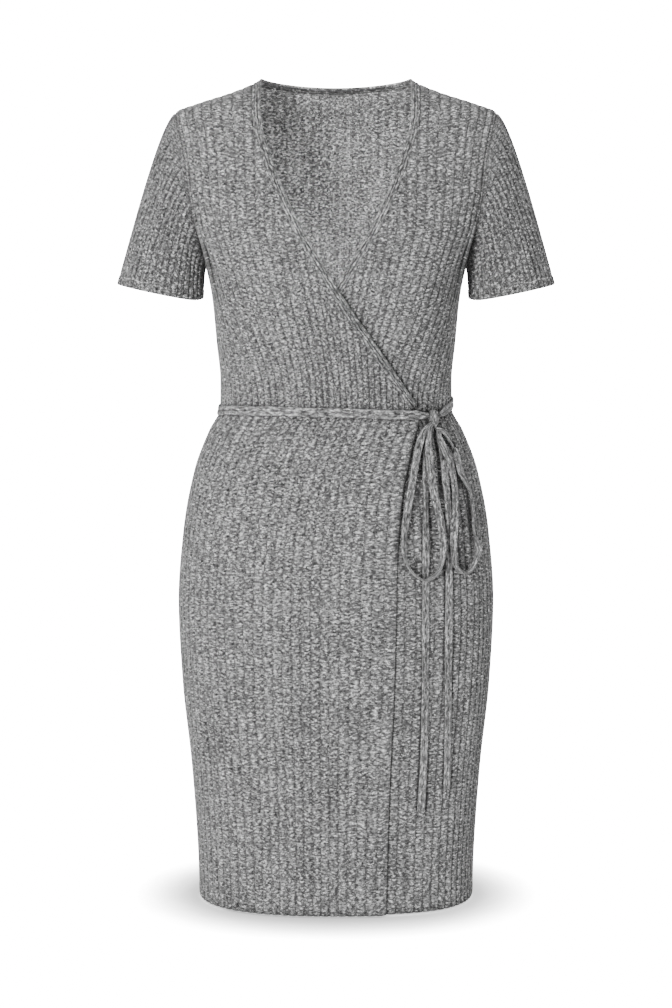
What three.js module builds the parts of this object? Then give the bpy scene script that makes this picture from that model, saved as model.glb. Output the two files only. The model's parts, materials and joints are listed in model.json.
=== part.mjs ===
// A knee-length wrap dress in marled rib knit, filled out as worn, with a self-fabric tie in a bow.
// Millimetres, +Z up. The origin is midway between the two high shoulder points, on the line that
// the wearer's shoulders carry. -Y is the front, and +X is the wearer's left, where the bow is.
import * as THREE from "three";

// Heights
const WAIST_Z = -378;
const HEM_Z = -960;
const HEM_TURN = 22;
const SHOULDER_Z = -38;
const UNDERARM_Z = -209;
const KNEE_Z = -170; // below this height the bodice ribs start to lean in to the waist

// Cloth
const CLOTH = 1.6;
const RIB_HEIGHT = 0.9;
const SEAM_GAP = 0.3;
const SEAM_TURN = 0.07; // half the seam gap at the side seams, in degrees
const UNDERLAP = { bodice: 6.5, skirt: 4 }; // how far the under front lies beneath the over front
const UNDERLAP_EASE = 32; // degrees over which it comes up beyond the over front's edge
const BAND_WIDTH = 10;
const BAND_END_TURN = 0.6; // how far a band's end is drawn back from the shoulder, in degrees
const WRAP_STATIONS = 30;
const BACK_NECK_STATIONS = 16;
const RIB_ANGLE = 4; // one rib for each 4 degrees round the body
const COLUMN_ANGLE = RIB_ANGLE / 2; // one column on each crest and one in each groove
const HIDDEN_COLUMN_ANGLE = 8;
const PLAIN_SPAN = 6; // columns to each column of the plain inner face
const CURVED_SPAN = 2; // the same where the panel's top edge is curved
const HIDDEN_SPAN = 1;
const CORNER_ANGLE = 0.25; // a second column just inside a corner keeps the corner sharp
const EVEN_OUT = 5.5; // degrees by which equal steps are shifted to give ribs of equal width

// Horizontal sections of the body, from the high shoulder points to the hem
const SECTIONS = [
  { z: 0, side: 86, front: 14, back: 36, square: 2.2 },
  { z: -6, side: 97, front: 32, back: 50, square: 2.2 },
  { z: -16, side: 122, front: 42, back: 57, square: 2.2 },
  { z: -28, side: 160, front: 46, back: 64, square: 2.2 },
  { z: -38, side: 184, front: 50, back: 69, square: 2.3 },
  { z: -80, side: 188, front: 67, back: 84, square: 2.4 },
  { z: -125, side: 183, front: 88, back: 95, square: 2.4 },
  { z: -170, side: 166, front: 106, back: 99, square: 2.4 },
  { z: -209, side: 150.5, front: 118, back: 97, square: 2.4 },
  { z: -250, side: 142, front: 123, back: 92, square: 2.4 },
  { z: -300, side: 137.5, front: 114, back: 86, square: 2.35 },
  { z: -345, side: 133.5, front: 99, back: 83, square: 2.3 },
  { z: -378, side: 134, front: 92, back: 84, square: 2.3 },
  { z: -404, side: 147, front: 97, back: 92, square: 2.3 },
  { z: -450, side: 164.5, front: 105, back: 107, square: 2.35 },
  { z: -520, side: 178, front: 110, back: 117, square: 2.4 },
  { z: -605, side: 184.5, front: 111, back: 119, square: 2.4 },
  { z: -700, side: 180.5, front: 108, back: 112, square: 2.4 },
  { z: -800, side: 170.5, front: 104, back: 106, square: 2.4 },
  { z: -900, side: 164, front: 102, back: 102, square: 2.4 },
  { z: -960, side: 162, front: 102, back: 101, square: 2.4 },
];

// Swells and soft folds. Each is centred `turn` degrees round from centre front at height z, and
// leans from upright by `lean` degrees. Half lengths and half widths are in millimetres.
const FOLDS = [
  { turn: -37, z: -238, lean: 0, half: 58, wide: 46, out: 8 }, // bust
  { turn: 37, z: -238, lean: 0, half: 58, wide: 46, out: 8 },
  { turn: 152, z: -145, lean: 0, half: 60, wide: 48, out: 3.5 }, // shoulder blades
  { turn: -152, z: -145, lean: 0, half: 60, wide: 48, out: 3.5 },
  { turn: 154, z: -560, lean: 0, half: 80, wide: 52, out: 5 }, // seat
  { turn: -154, z: -560, lean: 0, half: 80, wide: 52, out: 5 },
  { turn: 50, z: -560, lean: 0, half: 170, wide: 9, out: -3 }, // folds below the knot
  { turn: 36, z: -600, lean: 0, half: 210, wide: 8, out: -2 },
  { turn: 64, z: -520, lean: 4, half: 110, wide: 9, out: -2 },
  { turn: 20, z: -330, lean: -30, half: 42, wide: 9, out: -2 }, // drag lines to the knot
  { turn: 58, z: -300, lean: 22, half: 50, wide: 10, out: -2 },
  { turn: -48, z: -330, lean: -24, half: 44, wide: 10, out: -1.6 },
  { turn: 178, z: -345, lean: 0, half: 40, wide: 12, out: -2 }, // small of the back
  { turn: 150, z: -338, lean: 14, half: 38, wide: 10, out: -1.6 },
  { turn: -148, z: -340, lean: -12, half: 44, wide: 10, out: -1.8 },
  { turn: 166, z: -760, lean: 2, half: 150, wide: 14, out: -2.5 }, // below the seat
  { turn: -160, z: -730, lean: -3, half: 130, wide: 13, out: -2.5 },
];
const MM_PER_DEGREE = 2.35; // mean width of one degree of turn, for placing the folds

// The wrap's neck edge, seen from the front: on the wearer's right it starts at x < 0 and crosses
const NECK_EDGE = [
  { z: 0, x: -86 },
  { z: -30, x: -86.2 },
  { z: -52, x: -84 },
  { z: -92, x: -72 },
  { z: -126, x: -59 },
  { z: -172, x: -37 },
  { z: -207, x: -16 },
  { z: -250, x: 10.5 },
  { z: -307, x: 50 },
  { z: -368, x: 92 },
];
const BACK_NECK_DROP = 6;

// The skirt's overlapping edge, as turn from centre front, and how far it stands off
const SKIRT_EDGE = [
  { z: -378, turn: 45, lift: 0 },
  { z: -392, turn: 40, lift: 1.8 },
  { z: -418, turn: 32.8, lift: 2.6 },
  { z: -460, turn: 26.4, lift: 3 },
  { z: -503, turn: 23.5, lift: 2.6 },
  { z: -581, turn: 21.4, lift: 1.4 },
  { z: -960, turn: 20.6, lift: 0.6 },
];
const UNDERLAP_TURN = -48; // the hidden edge of the skirt's under front
const SKIRT_ROWS = [-400, -430, -474, -532, -615, -720, -840];

// Waist shaping of the bodice ribs
const WAIST_PINCH = 0.85; // ribs draw together to this share of their turn at the waist
const WRAP_DRIFT = 8; // and are pulled this many degrees towards the wrap's end
// Rows of a bodice panel, from the waist to the knee height and from there to the top
const LOWER_SHARES = [0, 0.17, 0.34, 0.5, 0.67, 0.84, 1];
const UPPER_SHARES = [0.28, 0.56, 0.82, 1];
const LONGEST_LOWER = 0.75; // the share of a short rib's length that the lower rows take

// Armhole, seen from the side, and the sleeve
const ARMHOLE = { front: 44, back: 50, egg: 0.3 };
const CUFF = { x: 204.5, z: -244, wide: 49.5, deep: 52, slope: 11.7 };
const SLEEVE_RIBS = 27;
const SLEEVE_ROWS = 7;
const SLEEVE_HEM = 20;
const SLEEVE_INSET = 1.2; // how far the sleeve's head stands inside the armhole
const SLEEVE_PULL = [
  // how far and which way the sleeve leaves the armhole, by the angle round it from the shoulder
  { around: 0, long: 52, out: 0.94, down: 0.34 },
  { around: 90, long: 62, out: 0.82, down: 0.57 },
  { around: 180, long: 34, out: 0.42, down: 0.91 },
];

// The tie
const TIE = { width: 9.4, waistWidth: 10.8, thick: 2.6, clear: 1.3 };
const KNOT = { x: 114.2, z: -385.4, wide: 6, tall: 10.5, deep: 5.4, lift: 6.7 };
const WAIST_TIE = [
  // centre line of the tie round the waist, from the knot's left side round the back to its right
  { turn: 47.6, z: -381.6 },
  { turn: 30, z: -379.6 },
  { turn: 5, z: -376.8 },
  { turn: -20, z: -374.8 },
  { turn: -45, z: -376 },
  { turn: -80, z: -379.6 },
  { turn: -130, z: -378 },
  { turn: -180, z: -374.4 },
  { turn: -230, z: -371 },
  { turn: -272, z: -370.4 },
  { turn: -288, z: -374.2 },
  { turn: -305.4, z: -382 },
];
const WAIST_TIE_STEPS = 52;
// Loops and tails of the bow: x and z from the front, the lift off the dress, and how far the tie
// is turned on edge, in degrees
const BOW = {
  tie_loop_over: [
    { x: 110.4, z: -393.6, lift: 7, edge: 0 },
    { x: 100, z: -401, lift: 5.8, edge: 0 },
    { x: 95.6, z: -418, lift: 5.6, edge: 0 },
    { x: 90.3, z: -439, lift: 5.6, edge: 0 },
    { x: 85, z: -464, lift: 5.6, edge: 4 },
    { x: 80.4, z: -490, lift: 5.8, edge: 12 },
    { x: 77.2, z: -514, lift: 6.4, edge: 30 },
    { x: 76.6, z: -532, lift: 7.8, edge: 56 },
    { x: 81.4, z: -548, lift: 9.4, edge: 80 },
    { x: 91.4, z: -560.4, lift: 9.8, edge: 90 },
    { x: 103.3, z: -566, lift: 9.8, edge: 90 },
    { x: 115.3, z: -559.6, lift: 9.8, edge: 90 },
    { x: 122.8, z: -543.6, lift: 9.2, edge: 74 },
    { x: 123.6, z: -526, lift: 8.2, edge: 46 },
    { x: 119.4, z: -498, lift: 6.8, edge: 16 },
    { x: 113.6, z: -467, lift: 6.2, edge: 4 },
    { x: 108.4, z: -436, lift: 6, edge: 0 },
    { x: 107, z: -412, lift: 6.2, edge: 0 },
    { x: 112, z: -396.8, lift: 7.8, edge: 0 },
  ],
  tie_loop_under: [
    { x: 118.4, z: -396.2, lift: 7, edge: 0 },
    { x: 129.6, z: -404, lift: 5.8, edge: 0 },
    { x: 138, z: -426, lift: 5.8, edge: 0 },
    { x: 146.2, z: -449, lift: 6, edge: 6 },
    { x: 154, z: -472, lift: 6.4, edge: 20 },
    { x: 161, z: -496, lift: 7, edge: 40 },
    { x: 165.6, z: -520, lift: 8, edge: 66 },
    { x: 165.8, z: -538, lift: 8.8, edge: 84 },
    { x: 161.4, z: -552, lift: 9.2, edge: 90 },
    { x: 153.8, z: -560, lift: 9.4, edge: 90 },
    { x: 145.4, z: -560, lift: 9.6, edge: 90 },
    { x: 138.4, z: -551, lift: 9.6, edge: 90 },
    { x: 135.8, z: -534, lift: 9.4, edge: 80 },
    { x: 136.4, z: -514, lift: 8.6, edge: 54 },
    { x: 137.6, z: -492, lift: 7.6, edge: 26 },
    { x: 136.4, z: -466, lift: 6.8, edge: 6 },
    { x: 132, z: -438, lift: 6.4, edge: 0 },
    { x: 125, z: -412, lift: 6.4, edge: 0 },
    { x: 115.8, z: -398.4, lift: 7.6, edge: 0 },
  ],
  tie_tail_over: [
    { x: 112.9, z: -397, lift: 4, edge: 0 },
    { x: 105.4, z: -420, lift: 3, edge: 0 },
    { x: 104.2, z: -460, lift: 3, edge: 0 },
    { x: 104, z: -530, lift: 3, edge: 0 },
    { x: 103.4, z: -635, lift: 3, edge: 0 },
    { x: 103.6, z: -705, lift: 3, edge: 5 },
    { x: 102.4, z: -777, lift: 3, edge: -5 },
    { x: 99.2, z: -838, lift: 3, edge: 0 },
  ],
  tie_tail_under: [
    { x: 115.7, z: -397, lift: 4, edge: 0 },
    { x: 124, z: -420, lift: 3, edge: 0 },
    { x: 127.4, z: -454, lift: 3, edge: 0 },
    { x: 129, z: -492, lift: 3, edge: 0 },
    { x: 129.6, z: -560, lift: 3, edge: 0 },
    { x: 129.4, z: -640, lift: 3, edge: -4 },
    { x: 129.6, z: -720, lift: 3, edge: 5 },
    { x: 128.6, z: -815, lift: 3, edge: 0 },
  ],
};
const BOW_STEP = 14;
const BOW_NECK = { half: 1.7, length: 46 }; // the tie is squeezed where it enters the knot

const COLOURS = { knit: 0x8b8b8b, band: 0x939393, tie: 0x8f8f8f };

const { degToRad, radToDeg, clamp, smoothstep, lerp } = THREE.MathUtils;

// A smooth curve through one column of a table, with no overshoot between its rows.
function curveThrough(rows, at, value) {
  const xs = rows.map((row) => row[at]);
  const ys = rows.map((row) => row[value]);
  const slopes = xs.slice(1).map((x, i) => (ys[i + 1] - ys[i]) / (x - xs[i]));
  const tangents = xs.map((_, i) => {
    const before = slopes[Math.max(i - 1, 0)];
    const after = slopes[Math.min(i, slopes.length - 1)];
    return before * after <= 0 ? 0 : (2 * before * after) / (before + after);
  });
  const direction = Math.sign(xs[1] - xs[0]);
  return (x) => {
    let i = 0;
    while (i < xs.length - 2 && (x - xs[i + 1]) * direction > 0) i++;
    const h = xs[i + 1] - xs[i];
    const t = clamp((x - xs[i]) / h, 0, 1);
    const rise = ys[i + 1] - ys[i];
    return (
      ys[i] +
      rise * t * t * (3 - 2 * t) +
      h * t * (1 - t) * (tangents[i] * (1 - t) - tangents[i + 1] * t)
    );
  };
}

const side = curveThrough(SECTIONS, "z", "side");
const front = curveThrough(SECTIONS, "z", "front");
const back = curveThrough(SECTIONS, "z", "back");
const square = curveThrough(SECTIONS, "z", "square");
const neckEdge = curveThrough(NECK_EDGE, "z", "x");
const skirtEdge = curveThrough(SKIRT_EDGE, "z", "turn");
const skirtLift = curveThrough(SKIRT_EDGE, "z", "lift");

// How far the swells and folds move the body's surface out at one place.
function swell(turn, z) {
  return FOLDS.reduce((sum, fold) => {
    const across = (((turn - fold.turn + 540) % 360) - 180) * MM_PER_DEGREE;
    const along = z - fold.z;
    const lean = degToRad(fold.lean);
    const u = across * Math.cos(lean) - along * Math.sin(lean);
    const v = across * Math.sin(lean) + along * Math.cos(lean);
    return sum + fold.out * Math.exp(-((u / fold.wide) ** 2) - (v / fold.half) ** 2);
  }, 0);
}

// The body's outer surface, `turn` degrees round from centre front at height z.
function bodyPoint(turn, z) {
  const s = Math.sin(degToRad(turn));
  const c = Math.cos(degToRad(turn));
  const n = square(z);
  const depth = c > 0 ? front(z) : back(z);
  const reach = (Math.abs(s) ** n + Math.abs(c) ** n) ** (-1 / n);
  const point = new THREE.Vector3(side(z) * s * reach, -depth * c * reach, z);
  const outward = new THREE.Vector3(s / side(z), -c / depth, 0).normalize();
  return point.addScaledVector(outward, swell(turn, z));
}

function bodyNormal(turn, z) {
  const across = bodyPoint(turn + 0.5, z).sub(bodyPoint(turn - 0.5, z));
  const low = Math.min(z + 1, 0) - 2;
  const up = bodyPoint(turn, low + 2).sub(bodyPoint(turn, low));
  return across.cross(up).normalize();
}

const onBody = (turn, z, out) => bodyPoint(turn, z).addScaledVector(bodyNormal(turn, z), out);

// The turn at which the section has this x, or null past its side, and the other way round.
function turnAtX(x, z) {
  const share = Math.abs(x) / side(z);
  if (share >= 1) return null;
  const n = square(z);
  return Math.sign(x) * radToDeg(Math.atan2(share, (1 - share ** n) ** (1 / n)));
}

function xAtTurn(turn, z) {
  const [s, c] = [Math.sin(degToRad(turn)), Math.cos(degToRad(turn))];
  const n = square(z);
  return side(z) * s * (Math.abs(s) ** n + Math.abs(c) ** n) ** (-1 / n);
}

// Equal steps of `angle` give ribs of nearly equal width.
const evenTurn = (angle) => angle - EVEN_OUT * Math.sin(degToRad(2 * angle));

const ribHeight = (angle) =>
  RIB_HEIGHT * (1 - Math.abs((((angle / COLUMN_ANGLE) % 2) + 2) % 2 - 1));

// Armhole: how far it reaches forward or back of the side line at height z.
const armholeMiddle = (SHOULDER_Z + UNDERARM_Z) / 2;
const armholeHalf = (SHOULDER_Z - UNDERARM_Z) / 2;
function armholeReach(z, depth) {
  const up = clamp((z - armholeMiddle) / armholeHalf, -1, 1);
  return depth * Math.sqrt(1 - up * up) * (1 - ARMHOLE.egg * up);
}

function armholeX(z, panel) {
  const level = Math.min(z, SHOULDER_Z);
  const share = armholeReach(level, panel.armhole) / panel.depth(level);
  const n = square(level);
  return side(level) * (1 - share ** n) ** (1 / n);
}

// One rib of the bodice at height z, as turn from centre front or back, or null past the shoulder.
function bodiceRibTurn(angle, z, panel) {
  const low = evenTurn(angle);
  if (z <= KNEE_Z) {
    const down = smoothstep((KNEE_Z - z) / (KNEE_Z - WAIST_Z), 0, 1);
    return low * lerp(1, WAIST_PINCH, down) + panel.drift * down;
  }
  const kneeX = xAtTurn(low, KNEE_Z);
  const armholeKneeX = armholeX(KNEE_Z, panel);
  const pulled = armholeX(z, panel) - armholeKneeX;
  return turnAtX(kneeX + Math.sign(kneeX) * pulled * (Math.abs(kneeX) / armholeKneeX) ** 3, z);
}

// Follows a rib up from the waist until it leaves the panel, and returns places along it. A place
// is a turn and a height. Ribs beside the armhole's lower half have the lower rows only.
function bodiceRib(angle, panel) {
  const step = 2;
  const isUnderarm = Math.abs(angle) > panel.armholeAngle + 1e-6;
  const at = (z) => ({ turn: bodiceRibTurn(angle, z, panel), z });
  const inside = ({ turn, z }) =>
    turn !== null &&
    Math.abs(turn) < 90 - SEAM_TURN &&
    panel.belowNeck({ turn, z }) &&
    (!isUnderarm || clearOfArmhole({ turn, z }, panel.armhole));
  const places = [];
  let z = WAIST_Z + SEAM_GAP / 2;
  while (inside(at(z))) {
    places.push(at(z));
    z += step;
  }
  if (places.length < 2) return null;
  let low = z - step;
  let high = z;
  for (let i = 0; i < 20; i++) {
    const middle = (low + high) / 2;
    if (inside(at(middle))) low = middle;
    else high = middle;
  }
  places.push(at(low));
  if (isUnderarm) return spread(places, LOWER_SHARES);
  const lengthOf = (line) => line.at(-1).length;
  const below = measured(places.filter((place) => place.z <= KNEE_Z));
  const shelf = Math.min(lengthOf(below) / lengthOf(measured(places)), LONGEST_LOWER);
  return spread(places, [
    ...LOWER_SHARES.map((share) => share * shelf),
    ...UPPER_SHARES.map((share) => lerp(shelf, 1, share)),
  ]);
}

// Adds to each place of a line on the body its distance along the line.
function measured(places) {
  let length = 0;
  let last = null;
  return places.map((place) => {
    const point = bodyPoint(place.turn, place.z);
    length += last ? point.distanceTo(last) : 0;
    last = point;
    return { ...place, length };
  });
}

// Places at the given shares of the length of a line drawn on the body.
function spread(places, shares) {
  const line = measured(places);
  return shares.map((share) => {
    const target = line.at(-1).length * share;
    let i = 0;
    while (i < line.length - 2 && line[i + 1].length < target) i++;
    const [a, b] = [line[i], line[i + 1]];
    const t = (target - a.length) / Math.max(b.length - a.length, 1e-9);
    return { turn: lerp(a.turn, b.turn, t), z: lerp(a.z, b.z, t) };
  });
}

const evenShares = (rows) => Array.from({ length: rows + 1 }, (_, row) => row / rows);

// A closed mesh from columns of outer points and a plain inner face of fewer columns, in which
// inner[k] lies behind outer[kept[k]]. A column can be shorter than its neighbours.
function wall(outer, inner, kept, wraps = false) {
  const starts = [];
  const points = [];
  for (const column of [...outer, ...inner]) {
    starts.push(points.length);
    points.push(...column);
  }
  const outerAt = (c, r) => starts[c % outer.length] + r;
  const innerAt = (k, r) => starts[outer.length + (k % inner.length)] + r;
  const faces = [];
  const skin = (columns, at, facesOut) => {
    const spans = wraps ? columns.length : columns.length - 1;
    for (let c = 0; c < spans; c++) {
      const rows = Math.min(columns[c].length, columns[(c + 1) % columns.length].length);
      const [left, right] = facesOut ? [c, c + 1] : [c + 1, c];
      for (let r = 0; r + 1 < rows; r++) {
        const [a, b, upB, upA] = [at(left, r), at(right, r), at(right, r + 1), at(left, r + 1)];
        faces.push(a, b, upB, a, upB, upA);
      }
    }
  };
  skin(outer, outerAt, true);
  skin(inner, innerAt, false);
  for (const loop of wraps ? ringLoops(outer) : [panelLoop(outer)]) {
    const stations = loop.flatMap(([c, r], i) => (kept.includes(c) ? [{ i, c, r }] : []));
    stations.forEach((station, s) => {
      const next = stations[(s + 1) % stations.length];
      const end = next.i > station.i ? next.i : next.i + loop.length;
      const middle = Math.floor((station.i + end) / 2);
      const here = innerAt(kept.indexOf(station.c), station.r);
      const there = innerAt(kept.indexOf(next.c), next.r);
      for (let i = station.i; i < end; i++)
        faces.push(
          outerAt(...loop[(i + 1) % loop.length]),
          outerAt(...loop[i % loop.length]),
          i < middle ? here : there,
        );
      faces.push(outerAt(...loop[middle % loop.length]), here, there);
    });
  }
  return closedGeometry(points.flatMap((point) => point.toArray()), faces);
}

// The edge of a panel as pairs of column and row, along the foot, up, back along the top and down.
function panelLoop(columns) {
  const last = columns.length - 1;
  const loop = columns.map((_, c) => [c, 0]);
  for (let r = 1; r < columns[last].length; r++) loop.push([last, r]);
  for (let c = last - 1; c >= 0; c--) {
    const [top, before] = [columns[c].length - 1, columns[c + 1].length - 1];
    for (let r = before - 1; r >= top; r--) loop.push([c + 1, r]);
    for (let r = Math.min(before, top); r <= top; r++) loop.push([c, r]);
  }
  for (let r = columns[0].length - 2; r > 0; r--) loop.push([0, r]);
  return loop;
}

// The two edges of a tube.
function ringLoops(columns) {
  const foot = columns.map((_, c) => [c, 0]);
  return [foot, columns.map((column, c) => [c, column.length - 1]).reverse()];
}

// Turns the faces outwards if the signed volume says that they point in.
function closedGeometry(positions, faces) {
  const at = (i) => new THREE.Vector3(...positions.slice(3 * i, 3 * i + 3));
  let volume = 0;
  for (let i = 0; i < faces.length; i += 3)
    volume += at(faces[i]).dot(at(faces[i + 1]).cross(at(faces[i + 2])));
  if (volume < 0) faces.reverse();
  const geometry = new THREE.BufferGeometry();
  geometry.setAttribute("position", new THREE.Float32BufferAttribute(positions, 3));
  geometry.setIndex(faces);
  geometry.computeVertexNormals();
  return geometry;
}

// Which columns the plain inner face keeps: the two ends, the corners and one in each span between.
function keptColumns(count, corners, spanAt) {
  const kept = [];
  let since = 0;
  for (let c = 0; c < count; c++) {
    since++;
    if (c > 0 && c < count - 1 && since < spanAt(c) && !corners.includes(c)) continue;
    kept.push(c);
    since = 0;
  }
  return kept;
}

// Angles for the columns of a bodice panel between two angles, fine where it shows.
function bodiceAngles(from, to, corners, isHidden) {
  const angles = [];
  for (let a = Math.ceil(from / COLUMN_ANGLE) * COLUMN_ANGLE; a < to; a += COLUMN_ANGLE)
    if (!isHidden(a) || a % HIDDEN_COLUMN_ANGLE === 0) angles.push(a);
  const near = (a) => corners.some((c) => Math.abs(c - a) < 0.6 * COLUMN_ANGLE);
  const kept = angles.filter((a) => !near(a));
  return [...kept, ...corners].sort((a, b) => a - b);
}

// The angle of the rib for which `isShort` stops being true, found by halving.
function angleWhere(isShort) {
  let low = 0;
  let high = 89;
  for (let i = 0; i < 30; i++) {
    const middle = (low + high) / 2;
    if (isShort(middle)) low = middle;
    else high = middle;
  }
  return low;
}

// The angle of the rib that passes this x at height z.
function angleOfRibAt(x, z, panel) {
  return angleWhere((angle) => {
    const turn = bodiceRibTurn(angle, z, panel);
    return turn !== null && xAtTurn(turn, z) < x;
  });
}

// True where a place on the front or back is clear of the armhole by the seam gap.
function clearOfArmhole(place, depth) {
  if (place.z > SHOULDER_Z || place.z < UNDERARM_Z - SEAM_GAP) return true;
  const forward = Math.abs(bodyPoint(place.turn, place.z).y);
  return forward > armholeReach(place.z, depth) + SEAM_GAP;
}

// Slides a place over the body by this distance along a unit vector.
function slide(place, direction, distance) {
  const steps = 4;
  let { turn, z } = place;
  for (let i = 0; i < steps; i++) {
    const point = bodyPoint(turn, z);
    const byTurn = bodyPoint(turn + 0.2, z).sub(point).multiplyScalar(5);
    const byZ = bodyPoint(turn, z - 0.2).sub(point).multiplyScalar(-5);
    const [e, f, g] = [byTurn.dot(byTurn), byTurn.dot(byZ), byZ.dot(byZ)];
    const [a, b] = [byTurn.dot(direction), byZ.dot(direction)];
    const scale = distance / steps / (e * g - f * f);
    turn += (a * g - b * f) * scale;
    z += (b * e - a * f) * scale;
  }
  return { turn, z };
}

// Places along the wrap's edge from the shoulder to its end, evenly spaced.
function wrapEdgePlaces(rows) {
  const end = NECK_EDGE[NECK_EDGE.length - 1].z;
  const places = [];
  for (let i = 0; i <= 120; i++) {
    const z = end * (i / 120) ** 2;
    const turn = turnAtX(neckEdge(z), z);
    places.push({ turn: turn === null ? -90 : turn, z });
  }
  places[0].turn = -90;
  return spread(places, evenShares(rows));
}

// Places along the back neckline, from the wearer's right shoulder to the left one.
function backNeckPlaces(rows) {
  const places = [];
  for (let i = 0; i <= 60; i++) {
    const turn = -90 - 180 * (i / 60);
    places.push({ turn, z: -BACK_NECK_DROP * Math.sin(degToRad(-90 - turn)) ** 0.8 });
  }
  return spread(places, evenShares(rows));
}

// The inner side of a band: each place slid across the band by the given distance.
function slideAcross(places, distance) {
  return places.map((place, i) => {
    const before = places[Math.max(i - 1, 0)];
    const after = places[Math.min(i + 1, places.length - 1)];
    const along = bodyPoint(after.turn, after.z).sub(bodyPoint(before.turn, before.z));
    const across = along.cross(bodyNormal(place.turn, place.z)).normalize();
    return slide(place, across, distance);
  });
}

const wrapEdge = wrapEdgePlaces(WRAP_STATIONS);
const wrapBandEdge = slideAcross(wrapEdge, BAND_WIDTH);
wrapBandEdge[0].turn = -90;
const backNeck = backNeckPlaces(BACK_NECK_STATIONS);
const backBandEdge = slideAcross(backNeck, -BAND_WIDTH);
backBandEdge[0] = { turn: -90, z: wrapBandEdge[0].z };
backBandEdge[backBandEdge.length - 1] = { turn: -270, z: wrapBandEdge[0].z };

// The x of the front panel's cut edge, where the band is sewn on, at height z.
const frontCutPoints = wrapBandEdge.map((place) => bodyPoint(place.turn, place.z));
function frontCutX(z) {
  let i = 0;
  while (i < frontCutPoints.length - 2 && frontCutPoints[i + 1].z > z) i++;
  const [a, b] = [frontCutPoints[i], frontCutPoints[i + 1]];
  return lerp(a.x, b.x, clamp((a.z - z) / (a.z - b.z), 0, 1.5)) - 1.6 * SEAM_GAP;
}

// The height of the back panel's cut edge at this x.
const backCutPoints = backBandEdge.map((place) => bodyPoint(place.turn, place.z));
function backCutZ(x) {
  let i = 0;
  while (i < backCutPoints.length - 2 && backCutPoints[i + 1].x < x) i++;
  const [a, b] = [backCutPoints[i], backCutPoints[i + 1]];
  return lerp(a.z, b.z, clamp((x - a.x) / (b.x - a.x), 0, 1)) - 2 * SEAM_GAP;
}

// How far the under front lies below the outside of the dress: full depth beneath the over front,
// easing to nothing over the stretch that shows. Its places are mirrored, so its turn is reversed.
function underlapDrop(place) {
  const z = clamp(place.z, NECK_EDGE[NECK_EDGE.length - 1].z, 0);
  const overEdge = turnAtX(neckEdge(z), z) ?? -90;
  return -UNDERLAP.bodice * (1 - smoothstep(-place.turn - overEdge, 3, UNDERLAP_EASE));
}

const frontPanel = {
  drift: WRAP_DRIFT,
  armhole: ARMHOLE.front,
  depth: front,
  turnFrom: (turn) => turn,
  belowNeck: (place) => bodyPoint(place.turn, place.z).x < frontCutX(place.z),
};
const backPanel = {
  drift: 0,
  armhole: ARMHOLE.back,
  depth: back,
  turnFrom: (turn) => 180 - turn,
  belowNeck: (place) => place.z < backCutZ(bodyPoint(180 - place.turn, place.z).x),
};
for (const [panel, cut] of [
  [frontPanel, frontCutPoints[0]],
  [backPanel, backCutPoints.at(-1)],
]) {
  const armholeKneeX = armholeX(KNEE_Z, panel) - SEAM_GAP;
  panel.armholeAngle = angleOfRibAt(armholeKneeX, KNEE_Z, panel);
  panel.neckAngle = angleOfRibAt(Math.abs(cut.x) + SEAM_GAP, cut.z - 0.6, panel);
}

// The two fronts of the bodice. Both are worked out as the wearer's right one, and the under front
// is its mirror image, set below the over front.
function bodiceFront(isOver) {
  const corners = [
    -frontPanel.armholeAngle,
    -frontPanel.neckAngle - CORNER_ANGLE,
    -frontPanel.neckAngle + CORNER_ANGLE,
    -frontPanel.neckAngle + 4 * CORNER_ANGLE,
  ];
  const isHidden = (angle) => !isOver && angle > 6;
  const angles = bodiceAngles(-(90 + WRAP_DRIFT) / WAIST_PINCH, 66, corners, isHidden);
  return bodicePanel(angles, corners, frontPanel, {
    isCurved: (angle) => -frontPanel.neckAngle < angle && angle < 0,
    isHidden,
    rib: (angle) => (isHidden(angle) ? 0 : ribHeight(angle)),
    at: (place, out) =>
      isOver
        ? onBody(place.turn, place.z, out)
        : onBody(-place.turn, place.z, out + underlapDrop(place)),
  });
}

function bodiceBack() {
  const { armholeAngle, neckAngle } = backPanel;
  const corners = [-armholeAngle, -neckAngle, neckAngle, armholeAngle];
  const angles = bodiceAngles(-90 / WAIST_PINCH, 90 / WAIST_PINCH, corners, () => false);
  return bodicePanel(angles, corners, backPanel, {
    isCurved: (angle) => Math.abs(angle) < neckAngle,
    isHidden: () => false,
    rib: ribHeight,
    at: (place, out) => onBody(180 - place.turn, place.z, out),
  });
}

// A bodice panel: each rib gives a column, and the outside is raised on the ribs.
function bodicePanel(angles, corners, panel, shape) {
  const columns = angles
    .map((angle) => ({ angle, places: bodiceRib(angle, panel) }))
    .filter((column) => column.places !== null);
  const isBeside = (angle) => Math.abs(angle) > panel.armholeAngle && Math.abs(angle) < 90;
  const spanAt = (c) => {
    const { angle } = columns[c];
    if (shape.isHidden(angle)) return HIDDEN_SPAN;
    return shape.isCurved(angle) || isBeside(angle) ? CURVED_SPAN : PLAIN_SPAN;
  };
  const build = ({ places }, out) => places.map((place) => shape.at(place, out));
  const cornerColumns = columns.flatMap((column, c) => (corners.includes(column.angle) ? [c] : []));
  const kept = keptColumns(columns.length, cornerColumns, spanAt);
  const outer = columns.map((column) => build(column, shape.rib(column.angle)));
  const inner = kept.map((c) => build(columns[c], -CLOTH));
  return wall(outer, inner, kept);
}

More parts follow.
